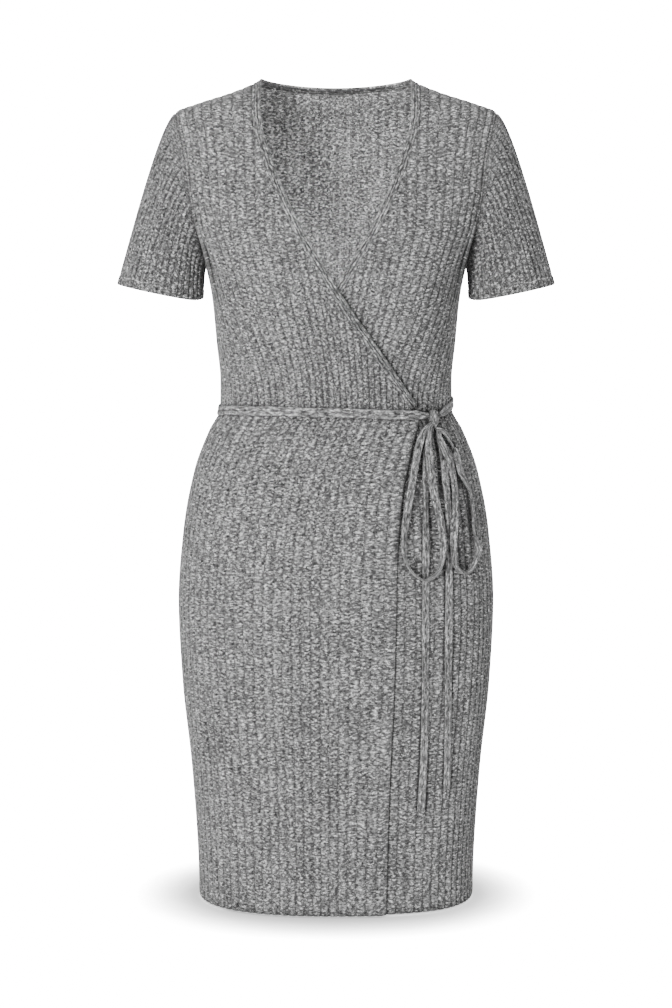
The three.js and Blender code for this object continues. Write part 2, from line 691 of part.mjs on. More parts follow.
// One half of the armhole's edge as it is built, from the shoulder down to the underarm.
function armholeEdge(panel) {
  const upper = bodiceRib(-panel.armholeAngle, panel).slice(LOWER_SHARES.length - 1).reverse();
  const lower = [];
  for (let a = panel.armholeAngle; a < 90; a += COLUMN_ANGLE) {
    const place = bodiceRib(-a - CORNER_ANGLE, panel).at(-1);
    if (place.z > UNDERARM_Z) lower.push(place);
  }
  return [...upper, ...lower, { turn: -90, z: UNDERARM_Z }].map(({ turn, z }) => ({
    turn: panel.turnFrom(-turn),
    z,
  }));
}

// A skirt panel between two edges given as turns, with the hem turned up inside.
function skirtPanel(steps, turnAt, out, isHidden) {
  const heights = [
    WAIST_Z - SEAM_GAP / 2,
    ...SKIRT_ROWS,
    HEM_Z + HEM_TURN + 2,
    HEM_Z + HEM_TURN,
    HEM_Z,
  ];
  const columns = Array.from({ length: steps + 1 }, (_, c) => c);
  const kept = keptColumns(columns.length, [], (c) => (isHidden(c) ? HIDDEN_SPAN : PLAIN_SPAN));
  const column = (c, wallOut) =>
    heights.map((z) => {
      const turn = turnAt(c / steps, z);
      return onBody(turn, z, out(turn, z, c / steps) + wallOut(z));
    });
  const outer = columns.map((c) => column(c, () => (c % 2 && !isHidden(c) ? RIB_HEIGHT : 0)));
  const inner = kept.map((c) => column(c, (z) => (z <= HEM_Z + HEM_TURN ? -2 * CLOTH : -CLOTH)));
  return wall(outer, inner, kept);
}

const skirtColumns = (degrees) => 2 * Math.round(degrees / RIB_ANGLE);

function skirtBack() {
  const turnAt = (share) => evenTurn(lerp(90 + SEAM_TURN, 270 - SEAM_TURN, share));
  return skirtPanel(skirtColumns(180), turnAt, () => 0, () => false);
}

function skirtOver() {
  const turnAt = (share, z) => {
    const end = skirtEdge(z);
    const even = lerp(-90 + SEAM_TURN, end, share);
    return even - EVEN_OUT * Math.sin(degToRad(2 * even)) * (1 - share ** 4);
  };
  const lift = (turn, z, share) => skirtLift(z) * smoothstep(share, 0.86, 1);
  return skirtPanel(skirtColumns(112), turnAt, lift, () => false);
}

const skirtDrop = (turn, z) =>
  -UNDERLAP.skirt * (1 - smoothstep(turn - skirtEdge(z), 2, UNDERLAP_EASE));

function skirtUnder() {
  const hiddenSteps = 8;
  const shownSteps = skirtColumns(74);
  const steps = hiddenSteps + shownSteps;
  const turnAt = (share, z) => {
    const step = share * steps;
    const shownFrom = skirtEdge(z) - 4;
    if (step < hiddenSteps) return lerp(UNDERLAP_TURN, shownFrom, step / hiddenSteps);
    return lerp(shownFrom, 90 - SEAM_TURN, (step - hiddenSteps) / shownSteps);
  };
  return skirtPanel(steps, turnAt, skirtDrop, (c) => c < hiddenSteps);
}

// A band sewn round a neck edge, thicker than the cloth and rounded at its free edge. Across it,
// each line is a distance from the edge with its outer and inner faces' heights.
const BAND_LINES = [
  { from: 0, outer: 0.3, inner: -1.1 },
  { from: 1.4, outer: 1.3, inner: -CLOTH },
  { from: 8.6, outer: 1.3, inner: -CLOTH },
  { from: BAND_WIDTH, outer: 0.5, inner: -CLOTH },
];

function bandWall(lines, at) {
  const stations = lines[0].places.map((_, station) => station);
  const build = (face) =>
    stations.map((station) => lines.map((line) => at(line.places[station], line[face])));
  return wall(build("outer"), build("inner"), stations);
}

function frontBand(isOver) {
  const lines = BAND_LINES.map((line) => {
    const places = slideAcross(wrapEdge, line.from);
    places[0].turn = -90 + BAND_END_TURN;
    return { ...line, places };
  });
  return bandWall(lines, (place, height) => {
    const z = clamp(place.z, WAIST_Z + SEAM_GAP, 0);
    if (isOver) return onBody(place.turn, z, height);
    return onBody(-place.turn, z, height + underlapDrop(place));
  });
}

function backBand() {
  const lines = BAND_LINES.map((line) => {
    const places = slideAcross(backNeck, -line.from);
    places[0].turn = -90 - BAND_END_TURN;
    places[places.length - 1].turn = -270 + BAND_END_TURN;
    return { ...line, places };
  });
  return bandWall(lines, (place, height) => onBody(place.turn, Math.min(place.z, 0), height));
}

// The sleeve: each rib is a curve from the armhole to the cuff.
const pullLong = curveThrough(SLEEVE_PULL, "around", "long");
const pullOut = curveThrough(SLEEVE_PULL, "around", "out");
const pullDown = curveThrough(SLEEVE_PULL, "around", "down");

const armhole = [...armholeEdge(frontPanel), ...armholeEdge(backPanel).reverse().slice(1)].map(
  ({ turn, z }) => ({ point: bodyPoint(turn, z), normal: bodyNormal(turn, z) }),
);
const armholeCentre = new THREE.Vector3(170, 0, armholeMiddle);
const underarmIndex = armholeEdge(frontPanel).length - 1;

// The sleeve's head: a point of the armhole's edge drawn in by the seam gap, and its normal. Half
// of the way round is the underarm.
function armholePoint(around) {
  const isBack = around > 180;
  const edge = isBack ? armhole.slice(underarmIndex) : armhole.slice(0, underarmIndex + 1);
  const lengths = [0];
  for (let i = 1; i < edge.length; i++)
    lengths.push(lengths[i - 1] + edge[i].point.distanceTo(edge[i - 1].point));
  const target = lengths.at(-1) * ((isBack ? around - 180 : around) / 180);
  let i = 0;
  while (i < edge.length - 2 && lengths[i + 1] < target) i++;
  const t = clamp((target - lengths[i]) / (lengths[i + 1] - lengths[i]), 0, 1);
  const normal = edge[i].normal.clone().lerp(edge[i + 1].normal, t).normalize();
  const point = edge[i].point.clone().lerp(edge[i + 1].point, t);
  const inward = armholeCentre.clone().sub(point);
  inward.addScaledVector(normal, -inward.dot(normal)).normalize();
  return { point: point.addScaledVector(inward, SLEEVE_INSET), normal };
}

function cuffPoint(around) {
  const slope = degToRad(CUFF.slope);
  const u = CUFF.wide * Math.cos(degToRad(around));
  return new THREE.Vector3(
    CUFF.x + u * Math.cos(slope),
    -CUFF.deep * Math.sin(degToRad(around)),
    CUFF.z + u * Math.sin(slope),
  );
}

function sleeveCurve(around, share) {
  const start = armholePoint(((around % 360) + 360) % 360).point;
  const end = cuffPoint(around);
  const fromTop = Math.abs(((around + 180) % 360) - 180);
  const length = start.distanceTo(end);
  const forward = -0.12 * Math.sin(degToRad(around));
  const leave = new THREE.Vector3(pullOut(fromTop), forward, -pullDown(fromTop))
    .normalize()
    .multiplyScalar(pullLong(fromTop));
  const slope = degToRad(CUFF.slope + 5 * Math.cos(degToRad(around)));
  const arrive = new THREE.Vector3(Math.sin(slope), 0, -Math.cos(slope)).multiplyScalar(length);
  const t = share;
  return new THREE.Vector3()
    .addScaledVector(start, 2 * t ** 3 - 3 * t ** 2 + 1)
    .addScaledVector(leave, t ** 3 - 2 * t ** 2 + t)
    .addScaledVector(end, -2 * t ** 3 + 3 * t ** 2)
    .addScaledVector(arrive, t ** 3 - t ** 2);
}

function sleevePoint(around, share, out) {
  const d = 0.5;
  const across = sleeveCurve(around + d, share).sub(sleeveCurve(around - d, share));
  const low = Math.max(share - 0.01, 0);
  const high = Math.min(share + 0.01, 1);
  const down = sleeveCurve(around, high).sub(sleeveCurve(around, low));
  const own = across.cross(down).normalize();
  const atSeam = armholePoint(((around % 360) + 360) % 360).normal.clone();
  if (own.dot(atSeam) < 0 && share < 0.05) own.negate();
  const normal = atSeam.lerp(own, smoothstep(share, 0, 0.12)).normalize();
  return sleeveCurve(around, share).addScaledVector(normal, out);
}

function sleeve(mirrored) {
  const columns = 2 * SLEEVE_RIBS;
  const hemShare = (around) => SLEEVE_HEM / sleeveCurve(around, 0).distanceTo(cuffPoint(around));
  const shares = (around) => {
    const hem = Math.min(hemShare(around), 0.45);
    const rows = evenShares(SLEEVE_ROWS - 1).map((share) => (1 - hem) * share ** 1.25);
    return [...rows, 1 - hem * 0.92, 1];
  };
  const flip = (p) => (mirrored ? new THREE.Vector3(-p.x, p.y, p.z) : p);
  const column = (c, outAt) => {
    const around = (360 * c) / columns;
    return shares(around).map((share, r) => flip(sleevePoint(around, share, outAt(r))));
  };
  const kept = Array.from({ length: columns / PLAIN_SPAN }, (_, k) => PLAIN_SPAN * k);
  const all = Array.from({ length: columns }, (_, c) => c);
  const outer = all.map((c) => column(c, () => (c % 2 ? RIB_HEIGHT : 0)));
  const inner = kept.map((c) => column(c, (r) => (r >= SLEEVE_ROWS ? -2 * CLOTH : -CLOTH)));
  return wall(outer, inner, kept, true);
}

// The tie: a flat band with a six-sided section, swept through stations. A station has a centre,
// the directions of its width and thickness, and half its width.
function strap(stations, halfThick) {
  const section = [
    [1, 0],
    [0.72, 1],
    [-0.72, 1],
    [-1, 0],
    [-0.72, -1],
    [0.72, -1],
  ];
  const sides = section.length;
  const positions = stations.flatMap(({ centre, across, up, half }) =>
    section.flatMap(([u, v]) =>
      centre
        .clone()
        .addScaledVector(across, u * half)
        .addScaledVector(up, v * halfThick)
        .toArray(),
    ),
  );
  const faces = [];
  for (let s = 0; s + 1 < stations.length; s++)
    for (let i = 0; i < sides; i++) {
      const [a, b] = [s * sides + i, s * sides + ((i + 1) % sides)];
      faces.push(a, b, b + sides, a, b + sides, a + sides);
    }
  const last = (stations.length - 1) * sides;
  for (let i = 1; i + 1 < sides; i++) faces.push(0, i + 1, i, last, last + i, last + i + 1);
  return closedGeometry(positions, faces);
}

function waistTie() {
  const turns = WAIST_TIE.map((row) => ({ ...row, order: -row.turn }));
  const heightAt = curveThrough(turns, "order", "z");
  const first = turns[0].order;
  const last = turns[turns.length - 1].order;
  const lift = RIB_HEIGHT + TIE.clear + TIE.thick / 2;
  const stations = Array.from({ length: WAIST_TIE_STEPS + 1 }, (_, i) => {
    const order = lerp(first, last, i / WAIST_TIE_STEPS);
    const turn = -order;
    const z = heightAt(order);
    const fromEnd = Math.min(order - first, last - order) * MM_PER_DEGREE;
    const half = (TIE.waistWidth / 2) * lerp(0.62, 1, smoothstep(fromEnd, 0, 16));
    const out = lift + 1.2 * (1 - smoothstep(fromEnd, 0, 30));
    const upper = onBody(turn, z + half, out);
    const lower = onBody(turn, z - half, out);
    const across = upper.clone().sub(lower).normalize();
    const along = bodyPoint(turn - 1, z).sub(bodyPoint(turn + 1, z));
    const up = along.cross(across).normalize();
    if (up.dot(bodyNormal(turn, z)) < 0) up.negate();
    return { centre: upper.lerp(lower, 0.5), across, up, half };
  });
  return strap(stations, TIE.thick / 2);
}

// The turn of the place on the body below a point that is lifted off it and has this x.
function turnBelow({ x, z, lift }) {
  const normal = bodyNormal(turnAtX(x, z), z);
  return turnAtX(x - normal.x * lift, z);
}

function bowPiece(rows, isLoop) {
  const places = rows.map((row) => ({ ...row, turn: turnBelow(row) }));
  const sunk = (row) => skirtDrop(row.turn, row.z) * smoothstep(row.turn - skirtEdge(row.z), 0, 8);
  const points = places.map((row) => onBody(row.turn, row.z, row.lift + sunk(row)));
  const curve = new THREE.CatmullRomCurve3(points, false, "centripetal");
  const length = curve.getLength();
  const steps = Math.round(length / BOW_STEP);
  const spans = rows.length - 1;
  const stations = Array.from({ length: steps + 1 }, (_, i) => {
    const u = curve.getUtoTmapping(i / steps);
    const span = Math.min(Math.floor(u * spans), spans - 1);
    const t = u * spans - span;
    const turn = lerp(places[span].turn, places[span + 1].turn, t);
    const z = lerp(places[span].z, places[span + 1].z, t);
    const edge = degToRad(lerp(places[span].edge, places[span + 1].edge, t));
    const along = curve.getTangent(u);
    const normal = bodyNormal(turn, z);
    const flat = along.clone().cross(normal).normalize();
    const up = flat.clone().cross(along).normalize();
    const across = flat.clone().multiplyScalar(Math.cos(edge)).addScaledVector(up, Math.sin(edge));
    const fromStart = (i / steps) * length;
    const fromKnot = isLoop ? Math.min(fromStart, length - fromStart) : fromStart;
    return {
      centre: curve.getPoint(u),
      across,
      up: across.clone().cross(along).normalize(),
      half: lerp(BOW_NECK.half, TIE.width / 2, smoothstep(fromKnot, 0, BOW_NECK.length)),
    };
  });
  return strap(stations, TIE.thick / 2);
}

// The knot: a rounded bead with a groove on each side of the turn that crosses it.
function knot() {
  const turn = turnBelow(KNOT);
  const normal = bodyNormal(turn, KNOT.z);
  const upright = new THREE.Vector3(0, 0, 1);
  const across = upright.clone().cross(normal).normalize();
  const up = normal.clone().cross(across).normalize();
  const centre = onBody(turn, KNOT.z, KNOT.lift);
  const bead = new THREE.SphereGeometry(1, 14, 10);
  bead.deleteAttribute("normal");
  bead.deleteAttribute("uv");
  const place = bead.getAttribute("position");
  const point = new THREE.Vector3();
  for (let i = 0; i < place.count; i++) {
    point.fromBufferAttribute(place, i);
    const waist = 1 - 0.1 * Math.exp(-(((Math.abs(point.y) - 0.45) / 0.14) ** 2));
    const moved = centre
      .clone()
      .addScaledVector(across, point.x * KNOT.wide * waist)
      .addScaledVector(up, point.y * KNOT.tall)
      .addScaledVector(normal, point.z * KNOT.deep * waist);
    place.setXYZ(i, moved.x, moved.y, moved.z);
  }
  return bead;
}

const dress = new THREE.Group();
function add(name, geometry, colour) {
  const material = new THREE.MeshStandardMaterial({ color: colour, roughness: 0.95, metalness: 0 });
  const mesh = new THREE.Mesh(geometry, material);
  mesh.name = name;
  dress.add(mesh);
}

add("bodice_back", bodiceBack(), COLOURS.knit);
add("bodice_front_over", bodiceFront(true), COLOURS.knit);
add("bodice_front_under", bodiceFront(false), COLOURS.knit);
add("skirt_back", skirtBack(), COLOURS.knit);
add("skirt_front_over", skirtOver(), COLOURS.knit);
add("skirt_front_under", skirtUnder(), COLOURS.knit);
add("sleeve_left", sleeve(false), COLOURS.knit);
add("sleeve_right", sleeve(true), COLOURS.knit);
add("neckband_over", frontBand(true), COLOURS.band);
add("neckband_under", frontBand(false), COLOURS.band);
add("neckband_back", backBand(), COLOURS.band);
add("tie_waist", waistTie(), COLOURS.tie);
add("tie_knot", knot(), COLOURS.tie);
for (const [name, rows] of Object.entries(BOW))
  add(name, bowPiece(rows, name.startsWith("tie_loop")), COLOURS.tie);

export default dress;
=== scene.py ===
"""Looks of a knee-length wrap dress in marled rib knit, filled out as worn.

Lengths are in millimetres until a mesh is made. +Z is up, -Y is the dress's front and +X the
wearer's left. A place on the dress is a turn, in degrees round from centre front, and a height.
"""

from __future__ import annotations

import json
import logging
import math
from dataclasses import dataclass
from enum import Enum
from typing import NamedTuple, Sequence

import bmesh
import bpy
import numpy as np
from mathutils import Matrix, Vector

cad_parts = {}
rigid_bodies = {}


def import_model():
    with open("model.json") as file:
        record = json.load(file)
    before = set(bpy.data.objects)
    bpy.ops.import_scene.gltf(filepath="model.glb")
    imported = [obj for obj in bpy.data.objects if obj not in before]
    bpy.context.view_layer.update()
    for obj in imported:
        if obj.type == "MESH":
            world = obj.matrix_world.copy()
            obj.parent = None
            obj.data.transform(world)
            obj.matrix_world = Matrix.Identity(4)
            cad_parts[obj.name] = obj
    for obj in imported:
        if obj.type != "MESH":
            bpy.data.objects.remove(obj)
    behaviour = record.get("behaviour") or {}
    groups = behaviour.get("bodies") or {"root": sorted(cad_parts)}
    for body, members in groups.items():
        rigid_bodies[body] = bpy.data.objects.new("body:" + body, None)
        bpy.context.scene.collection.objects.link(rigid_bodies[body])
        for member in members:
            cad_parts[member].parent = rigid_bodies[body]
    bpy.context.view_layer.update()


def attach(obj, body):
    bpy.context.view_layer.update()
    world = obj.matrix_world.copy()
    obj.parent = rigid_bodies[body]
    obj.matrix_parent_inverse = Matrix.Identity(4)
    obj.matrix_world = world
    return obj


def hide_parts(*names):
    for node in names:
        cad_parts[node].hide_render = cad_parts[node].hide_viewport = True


log = logging.getLogger("dress")
MM = 0.001
Array = np.ndarray
Socket = bpy.types.NodeSocket | float
Colour = tuple[float, float, float, float]
WHITE: Colour = (1.0, 1.0, 1.0, 1.0)


class Section(NamedTuple):
    """A level section of the body: its half width, its depths and how square it is."""

    z: float
    side: float
    front: float
    back: float
    square: float


class Fold(NamedTuple):
    """A swell or a soft trough, with its half length and half width."""

    turn: float
    z: float
    lean: float
    half: float
    wide: float
    out: float


class EdgeRow(NamedTuple):
    """A height on an edge with the edge's x, or its turn, and how far it stands off."""

    z: float
    at: float
    lift: float = 0.0


class BowRow(NamedTuple):
    """A point of the bow: where it is from the front, its lift and its turn on edge."""

    x: float
    z: float
    lift: float
    edge: float = 0.0


# Levels on the dress
WAIST_Z = -378.0
HEM_Z = -960.0
SHOULDER_Z = -38.0
UNDERARM_Z = -209.0
KNEE_Z = -170.0  # below this the bodice's ribs lean in to the waist

# How the ribs run, in degrees but for the pinch, which is a share
EVEN_OUT = 5.5  # how far equal steps are shifted to give ribs of equal width
WAIST_PINCH = 0.85  # the ribs' spread at the waist
WRAP_DRIFT = 8.0  # how far the wrap draws the front's ribs round
MM_PER_DEGREE = 2.35  # along the body, for the sizes of folds

# Edges and layers
BACK_NECK_DROP = 6.0
BACK_NECK_POWER = 1.6  # above 1, the line leaves the shoulders more level
UNDER_DROP = 5.0  # how far the bodice's under front lies below the over one
SKIRT_DROP = 3.6  # the same at the skirt
BAND_WIDTH = 10.0
TIE_WIDTH = 9.4
WAIST_TIE_WIDTH = 10.8

SECTIONS = (
    Section(0, 86, 14, 36, 2.2),
    Section(-6, 97, 32, 50, 2.2),
    Section(-16, 122, 42, 57, 2.2),
    Section(-28, 160, 46, 64, 2.2),
    Section(-38, 184, 50, 69, 2.3),
    Section(-80, 188, 67, 84, 2.4),
    Section(-125, 183, 88, 95, 2.4),
    Section(-170, 166, 106, 99, 2.4),
    Section(-209, 150.5, 118, 97, 2.4),
    Section(-250, 142, 123, 92, 2.4),
    Section(-300, 137.5, 114, 86, 2.35),
    Section(-345, 133.5, 99, 83, 2.3),
    Section(-378, 134, 92, 84, 2.3),
    Section(-404, 147, 97, 92, 2.3),
    Section(-450, 164.5, 105, 107, 2.35),
    Section(-520, 178, 110, 117, 2.4),
    Section(-605, 184.5, 111, 119, 2.4),
    Section(-700, 180.5, 108, 112, 2.4),
    Section(-800, 170.5, 104, 106, 2.4),
    Section(-900, 164, 102, 102, 2.4),
    Section(-960, 162, 102, 101, 2.4),
)

FOLDS = (
    # Bust, shoulder blades and seat
    Fold(-37, -238, 0, 58, 46, 8),
    Fold(37, -238, 0, 58, 46, 8),
    Fold(152, -145, 0, 60, 48, 3.5),
    Fold(-152, -145, 0, 60, 48, 3.5),
    Fold(154, -560, 0, 80, 52, 5),
    Fold(-154, -560, 0, 80, 52, 5),
    # Soft folds below the knot
    Fold(50, -560, 0, 170, 9, -3),
    Fold(36, -600, 0, 210, 8, -2),
    Fold(64, -520, 4, 110, 9, -2),
    # Drag lines to the knot and across the waist
    Fold(20, -330, -30, 42, 9, -2),
    Fold(58, -300, 22, 50, 10, -2),
    Fold(-48, -330, -24, 44, 10, -1.6),
    Fold(178, -345, 0, 40, 12, -2),
    Fold(150, -338, 14, 38, 10, -1.6),
    Fold(-148, -340, -12, 44, 10, -1.8),
    # Below the seat
    Fold(166, -760, 2, 150, 14, -2.5),
    Fold(-160, -730, -3, 130, 13, -2.5),
    # Small creases that only the looks have
    Fold(32, -350, -42, 26, 3.4, -1.5),
    Fold(26, -362, -56, 22, 3.0, -1.3),
    Fold(38, -340, -36, 24, 2.8, 0.9),
    Fold(68, -190, 24, 26, 6, -1.4),
    Fold(-68, -190, -24, 26, 6, -1.4),
    Fold(-74, -216, -34, 24, 5, -1.2),
    Fold(74, -216, 34, 24, 5, -1.2),
    Fold(64, -342, 14, 30, 5, -1.0),
    Fold(-66, -345, -12, 28, 6, -0.9),
    Fold(112, -200, -20, 30, 7, -1.5),
    Fold(-112, -200, 20, 30, 7, -1.5),
    Fold(-30, -420, 10, 30, 7, -0.9),
    Fold(-62, -410, -6, 26, 6, -0.8),
    Fold(6, -410, 8, 30, 8, -0.7),
    Fold(60, -410, 10, 26, 5, -1.4),
    # Deep pleats below the knot, between the bow's legs
    Fold(46, -436, 13.7, 46, 3.6, -8),
    Fold(36.5, -500, 0, 32, 4, -5),
    Fold(35.5, -438, 16, 22, 3.2, -5),
    Fold(57.7, -420, 15.7, 26, 3.4, -6),
    Fold(57.6, -503, 2, 32, 4, -4.5),
    Fold(128, -415, -6, 30, 8, -1.0),
    Fold(-132, -410, 5, 30, 8, -1.0),
    Fold(-150, -880, 0, 90, 14, -1.6),
    Fold(128, -870, 2, 90, 14, -1.4),
)

NECK_EDGE = (
    EdgeRow(0, -86),
    EdgeRow(-30, -86.2),
    EdgeRow(-52, -84),
    EdgeRow(-92, -72),
    EdgeRow(-126, -59),
    EdgeRow(-172, -37),
    EdgeRow(-207, -16),
    EdgeRow(-250, 10.5),
    EdgeRow(-307, 50),
    EdgeRow(-368, 92),
)

SKIRT_EDGE = (
    EdgeRow(-378, 45, 0),
    EdgeRow(-392, 40, 1.8),
    EdgeRow(-418, 32.8, 2.6),
    EdgeRow(-460, 26.4, 3),
    EdgeRow(-503, 23.5, 2.6),
    EdgeRow(-581, 21.4, 1.4),
    EdgeRow(-960, 20.6, 0.6),
)

WAIST_TIE = (
    EdgeRow(-381.6, 47.6),
    EdgeRow(-379.6, 30),
    EdgeRow(-376.8, 5),
    EdgeRow(-374.8, -20),
    EdgeRow(-376, -45),
    EdgeRow(-379.6, -80),
    EdgeRow(-378, -130),
    EdgeRow(-374.4, -180),
    EdgeRow(-371, -230),
    EdgeRow(-370.4, -272),
    EdgeRow(-374.2, -288),
    EdgeRow(-382, -305.4),
)


class Curve:
    """A smooth line through rows of numbers, with no overshoot between them."""

    def __init__(self, xs: Sequence[float], ys: Sequence[float]) -> None:
        """Works out the line's slope at each row.

        Args:
            xs: where the rows stand, rising or falling.
            ys: their values.
        """
        order = np.argsort(xs)
        self.xs = np.asarray(xs, float)[order]
        self.ys = np.asarray(ys, float)[order]
        slopes = np.diff(self.ys) / np.diff(self.xs)
        before = np.concatenate([slopes[:1], slopes])
        after = np.concatenate([slopes, slopes[-1:]])
        total = np.where(before + after == 0, 1, before + after)
        self.tangents = np.where(before * after <= 0, 0, 2 * before * after / total)

    def __call__(self, x: Array | float) -> Array:
        """Reads the line off, held level past both ends.

        Args:
            x: where.

        Returns:
            The value at each x.
        """
        i = np.clip(np.searchsorted(self.xs, x) - 1, 0, len(self.xs) - 2)
        h = self.xs[i + 1] - self.xs[i]
        t = np.clip((x - self.xs[i]) / h, 0, 1)
        rise = self.ys[i + 1] - self.ys[i]
        bend = self.tangents[i] * (1 - t) - self.tangents[i + 1] * t
        return self.ys[i] + rise * t * t * (3 - 2 * t) + h * t * (1 - t) * bend


def smoothstep(x: Array | float, low: float, high: float) -> Array:
    """Rises smoothly from 0 to 1.

    Args:
        x: where.
        low, high: where it starts and ends.

    Returns:
        The height at each x.
    """
    t = np.clip((np.asarray(x, float) - low) / (high - low), 0, 1)
    return t * t * (3 - 2 * t)


def unit(v: Array) -> Array:
    """Returns vectors of length 1."""
    return v / np.maximum(np.linalg.norm(v, axis=-1, keepdims=True), 1e-12)


def even_turn(angle: Array | float) -> Array:
    """Returns the turns that give ribs of nearly equal width for equal steps of angle."""
    return angle - EVEN_OUT * np.sin(np.radians(2 * np.asarray(angle, float)))


class Figure:
    """The dress's outer surface as a function of turn and height."""

    def __init__(self, sections: Sequence[Section], folds: Sequence[Fold]) -> None:
        """Draws a curve through each of the sections' sizes.

        Args:
            sections: level sections from top to hem.
            folds: swells and troughs.
        """
        zs = [s.z for s in sections]
        self.side = Curve(zs, [s.side for s in sections])
        self.front = Curve(zs, [s.front for s in sections])
        self.back = Curve(zs, [s.back for s in sections])
        self.square = Curve(zs, [s.square for s in sections])
        self.folds = folds

    def swell(self, turn: Array, z: Array) -> Array:
        """Sums the folds.

        Args:
            turn: turns round from centre front, in degrees.
            z: heights.

        Returns:
            How far they move the surface out.
        """
        total = np.zeros(np.broadcast(turn, z).shape)
        for fold in self.folds:
            across = ((turn - fold.turn + 540) % 360 - 180) * MM_PER_DEGREE
            along = z - fold.z
            c, s = math.cos(math.radians(fold.lean)), math.sin(math.radians(fold.lean))
            u = across * c - along * s
            v = across * s + along * c
            total = total + fold.out * np.exp(-((u / fold.wide) ** 2) - (v / fold.half) ** 2)
        return total

    def point(self, turn: Array, z: Array) -> Array:
        """Finds places on the surface.

        Args:
            turn: turns round from centre front, in degrees.
            z: heights.

        Returns:
            Points, with a last axis of x, y, z.
        """
        turn, z = np.broadcast_arrays(np.asarray(turn, float), np.asarray(z, float))
        s, c = np.sin(np.radians(turn)), np.cos(np.radians(turn))
        n = self.square(z)
        depth = np.where(c > 0, self.front(z), self.back(z))
        side = self.side(z)
        reach = (np.abs(s) ** n + np.abs(c) ** n) ** (-1 / n)
        base = np.stack([side * s * reach, -depth * c * reach, z], axis=-1)
        outward = unit(np.stack([s / side, -c / depth, np.zeros_like(z)], axis=-1))
        return base + outward * self.swell(turn, z)[..., None]

    def normal(self, turn: Array, z: Array) -> Array:
        """Finds the surface's normals from small steps across and down it.

        Args:
            turn: turns round from centre front, in degrees.
            z: heights.

        Returns:
            Outward unit vectors.
        """
        across = self.point(turn + 0.5, z) - self.point(turn - 0.5, z)
        low = np.minimum(z + 1, 0) - 2
        up = self.point(turn, low + 2) - self.point(turn, low)
        return unit(np.cross(across, up))

    def place(self, turn: Array, z: Array, out: Array | float = 0.0) -> Array:
        """Finds places off the surface.

        Args:
            turn: turns round from centre front, in degrees.
            z: heights.
            out: how far they stand off it.

        Returns:
            Points.
        """
        turn, z = np.broadcast_arrays(np.asarray(turn, float), np.asarray(z, float))
        out = np.broadcast_to(out, turn.shape)
        return self.point(turn, z) + self.normal(turn, z) * out[..., None]

    def x_at(self, turn: Array, z: Array) -> Array:
        """Finds the x of the plain section, without its folds.

        Args:
            turn: turns round from centre front, in degrees.
            z: heights.

        Returns:
            The x.
        """
        s, c = np.sin(np.radians(turn)), np.cos(np.radians(turn))
        n = self.square(z)
        return self.side(z) * s * (np.abs(s) ** n + np.abs(c) ** n) ** (-1 / n)

    def turn_at_x(self, x: Array, z: Array) -> Array:
        """Finds places on the front by their x.

        Args:
            x: their x.
            z: their heights.

        Returns:
            Their turns, with nan past the side.
        """
        share = np.abs(x) / self.side(z)
        n = self.square(z)
        inside = np.clip(share, 0, 1)
        turn = np.degrees(np.arctan2(inside, (1 - inside**n) ** (1 / n)))
        return np.where(share < 1, np.sign(x) * turn, np.nan)


figure = Figure(SECTIONS, FOLDS)
neck_edge = Curve([r.z for r in NECK_EDGE], [r.at for r in NECK_EDGE])
skirt_edge = Curve([r.z for r in SKIRT_EDGE], [r.at for r in SKIRT_EDGE])
skirt_lift = Curve([r.z for r in SKIRT_EDGE], [r.lift for r in SKIRT_EDGE])


@dataclass(frozen=True)
class Rib:
    """The cloth's ribs: raised, with a narrow groove between two."""

    width: float = 10.0
    height: float = 1.7
    groove: float = 0.15
    phases: tuple[float, ...] = (0.0, 0.09, 0.2, 0.5, 0.8, 0.91)
    fine_phases: tuple[float, ...] = (0.0, 0.08, 0.18, 0.34, 0.5, 0.66, 0.82, 0.92)

    def columns(self, count: int, is_fine: bool = False) -> Array:
        """Returns the columns of so many ribs, counted in ribs."""
        phases = self.fine_phases if is_fine else self.phases
        return np.array([k + p for k in range(count) for p in phases] + [float(count)])

    def rise(self, ribs: Array) -> Array:
        """Returns how far the cloth is raised at places counted in ribs."""
        away = np.abs(ribs - np.round(ribs))
        return self.height * (1 - np.exp(-((away / self.groove) ** 2)))


RIB = Rib()


def seam_dip(distance: Array, depth: float = 1.0, width: float = 1.8) -> Array:
    """Returns how far cloth is drawn in at this distance from a seam."""
    return -depth * np.exp(-((distance / width) ** 2))


def lengths_along(points: Array) -> Array:
    """Returns the length from a line's first point to each of its points."""
    return np.concatenate([[0], np.cumsum(np.linalg.norm(np.diff(points, axis=0), axis=1))])


def stack_marks(across: Array, along: Array, phase: Array) -> Array:
    """Returns the cloth's marks, spread over the whole grid."""
    return np.stack(np.broadcast_arrays(across, along, phase), -1)


def add_object(name: str, bm: bmesh.types.BMesh, material: bpy.types.Material) -> bpy.types.Object:
    """Makes a smooth-shaded object of a bmesh, which is freed.

    Args:
        name: the object's name.
        bm: its shape, in metres.
        material: what it is made of.

    Returns:
        The object, at the origin.
    """
    mesh = bpy.data.meshes.new(name)
    bm.to_mesh(mesh)
    bm.free()
    mesh.polygons.foreach_set("use_smooth", [True] * len(mesh.polygons))
    mesh.materials.append(material)
    obj = bpy.data.objects.new(name, mesh)
    bpy.context.scene.collection.objects.link(obj)
    log.info("%s: %d faces", name, len(mesh.polygons))
    return obj


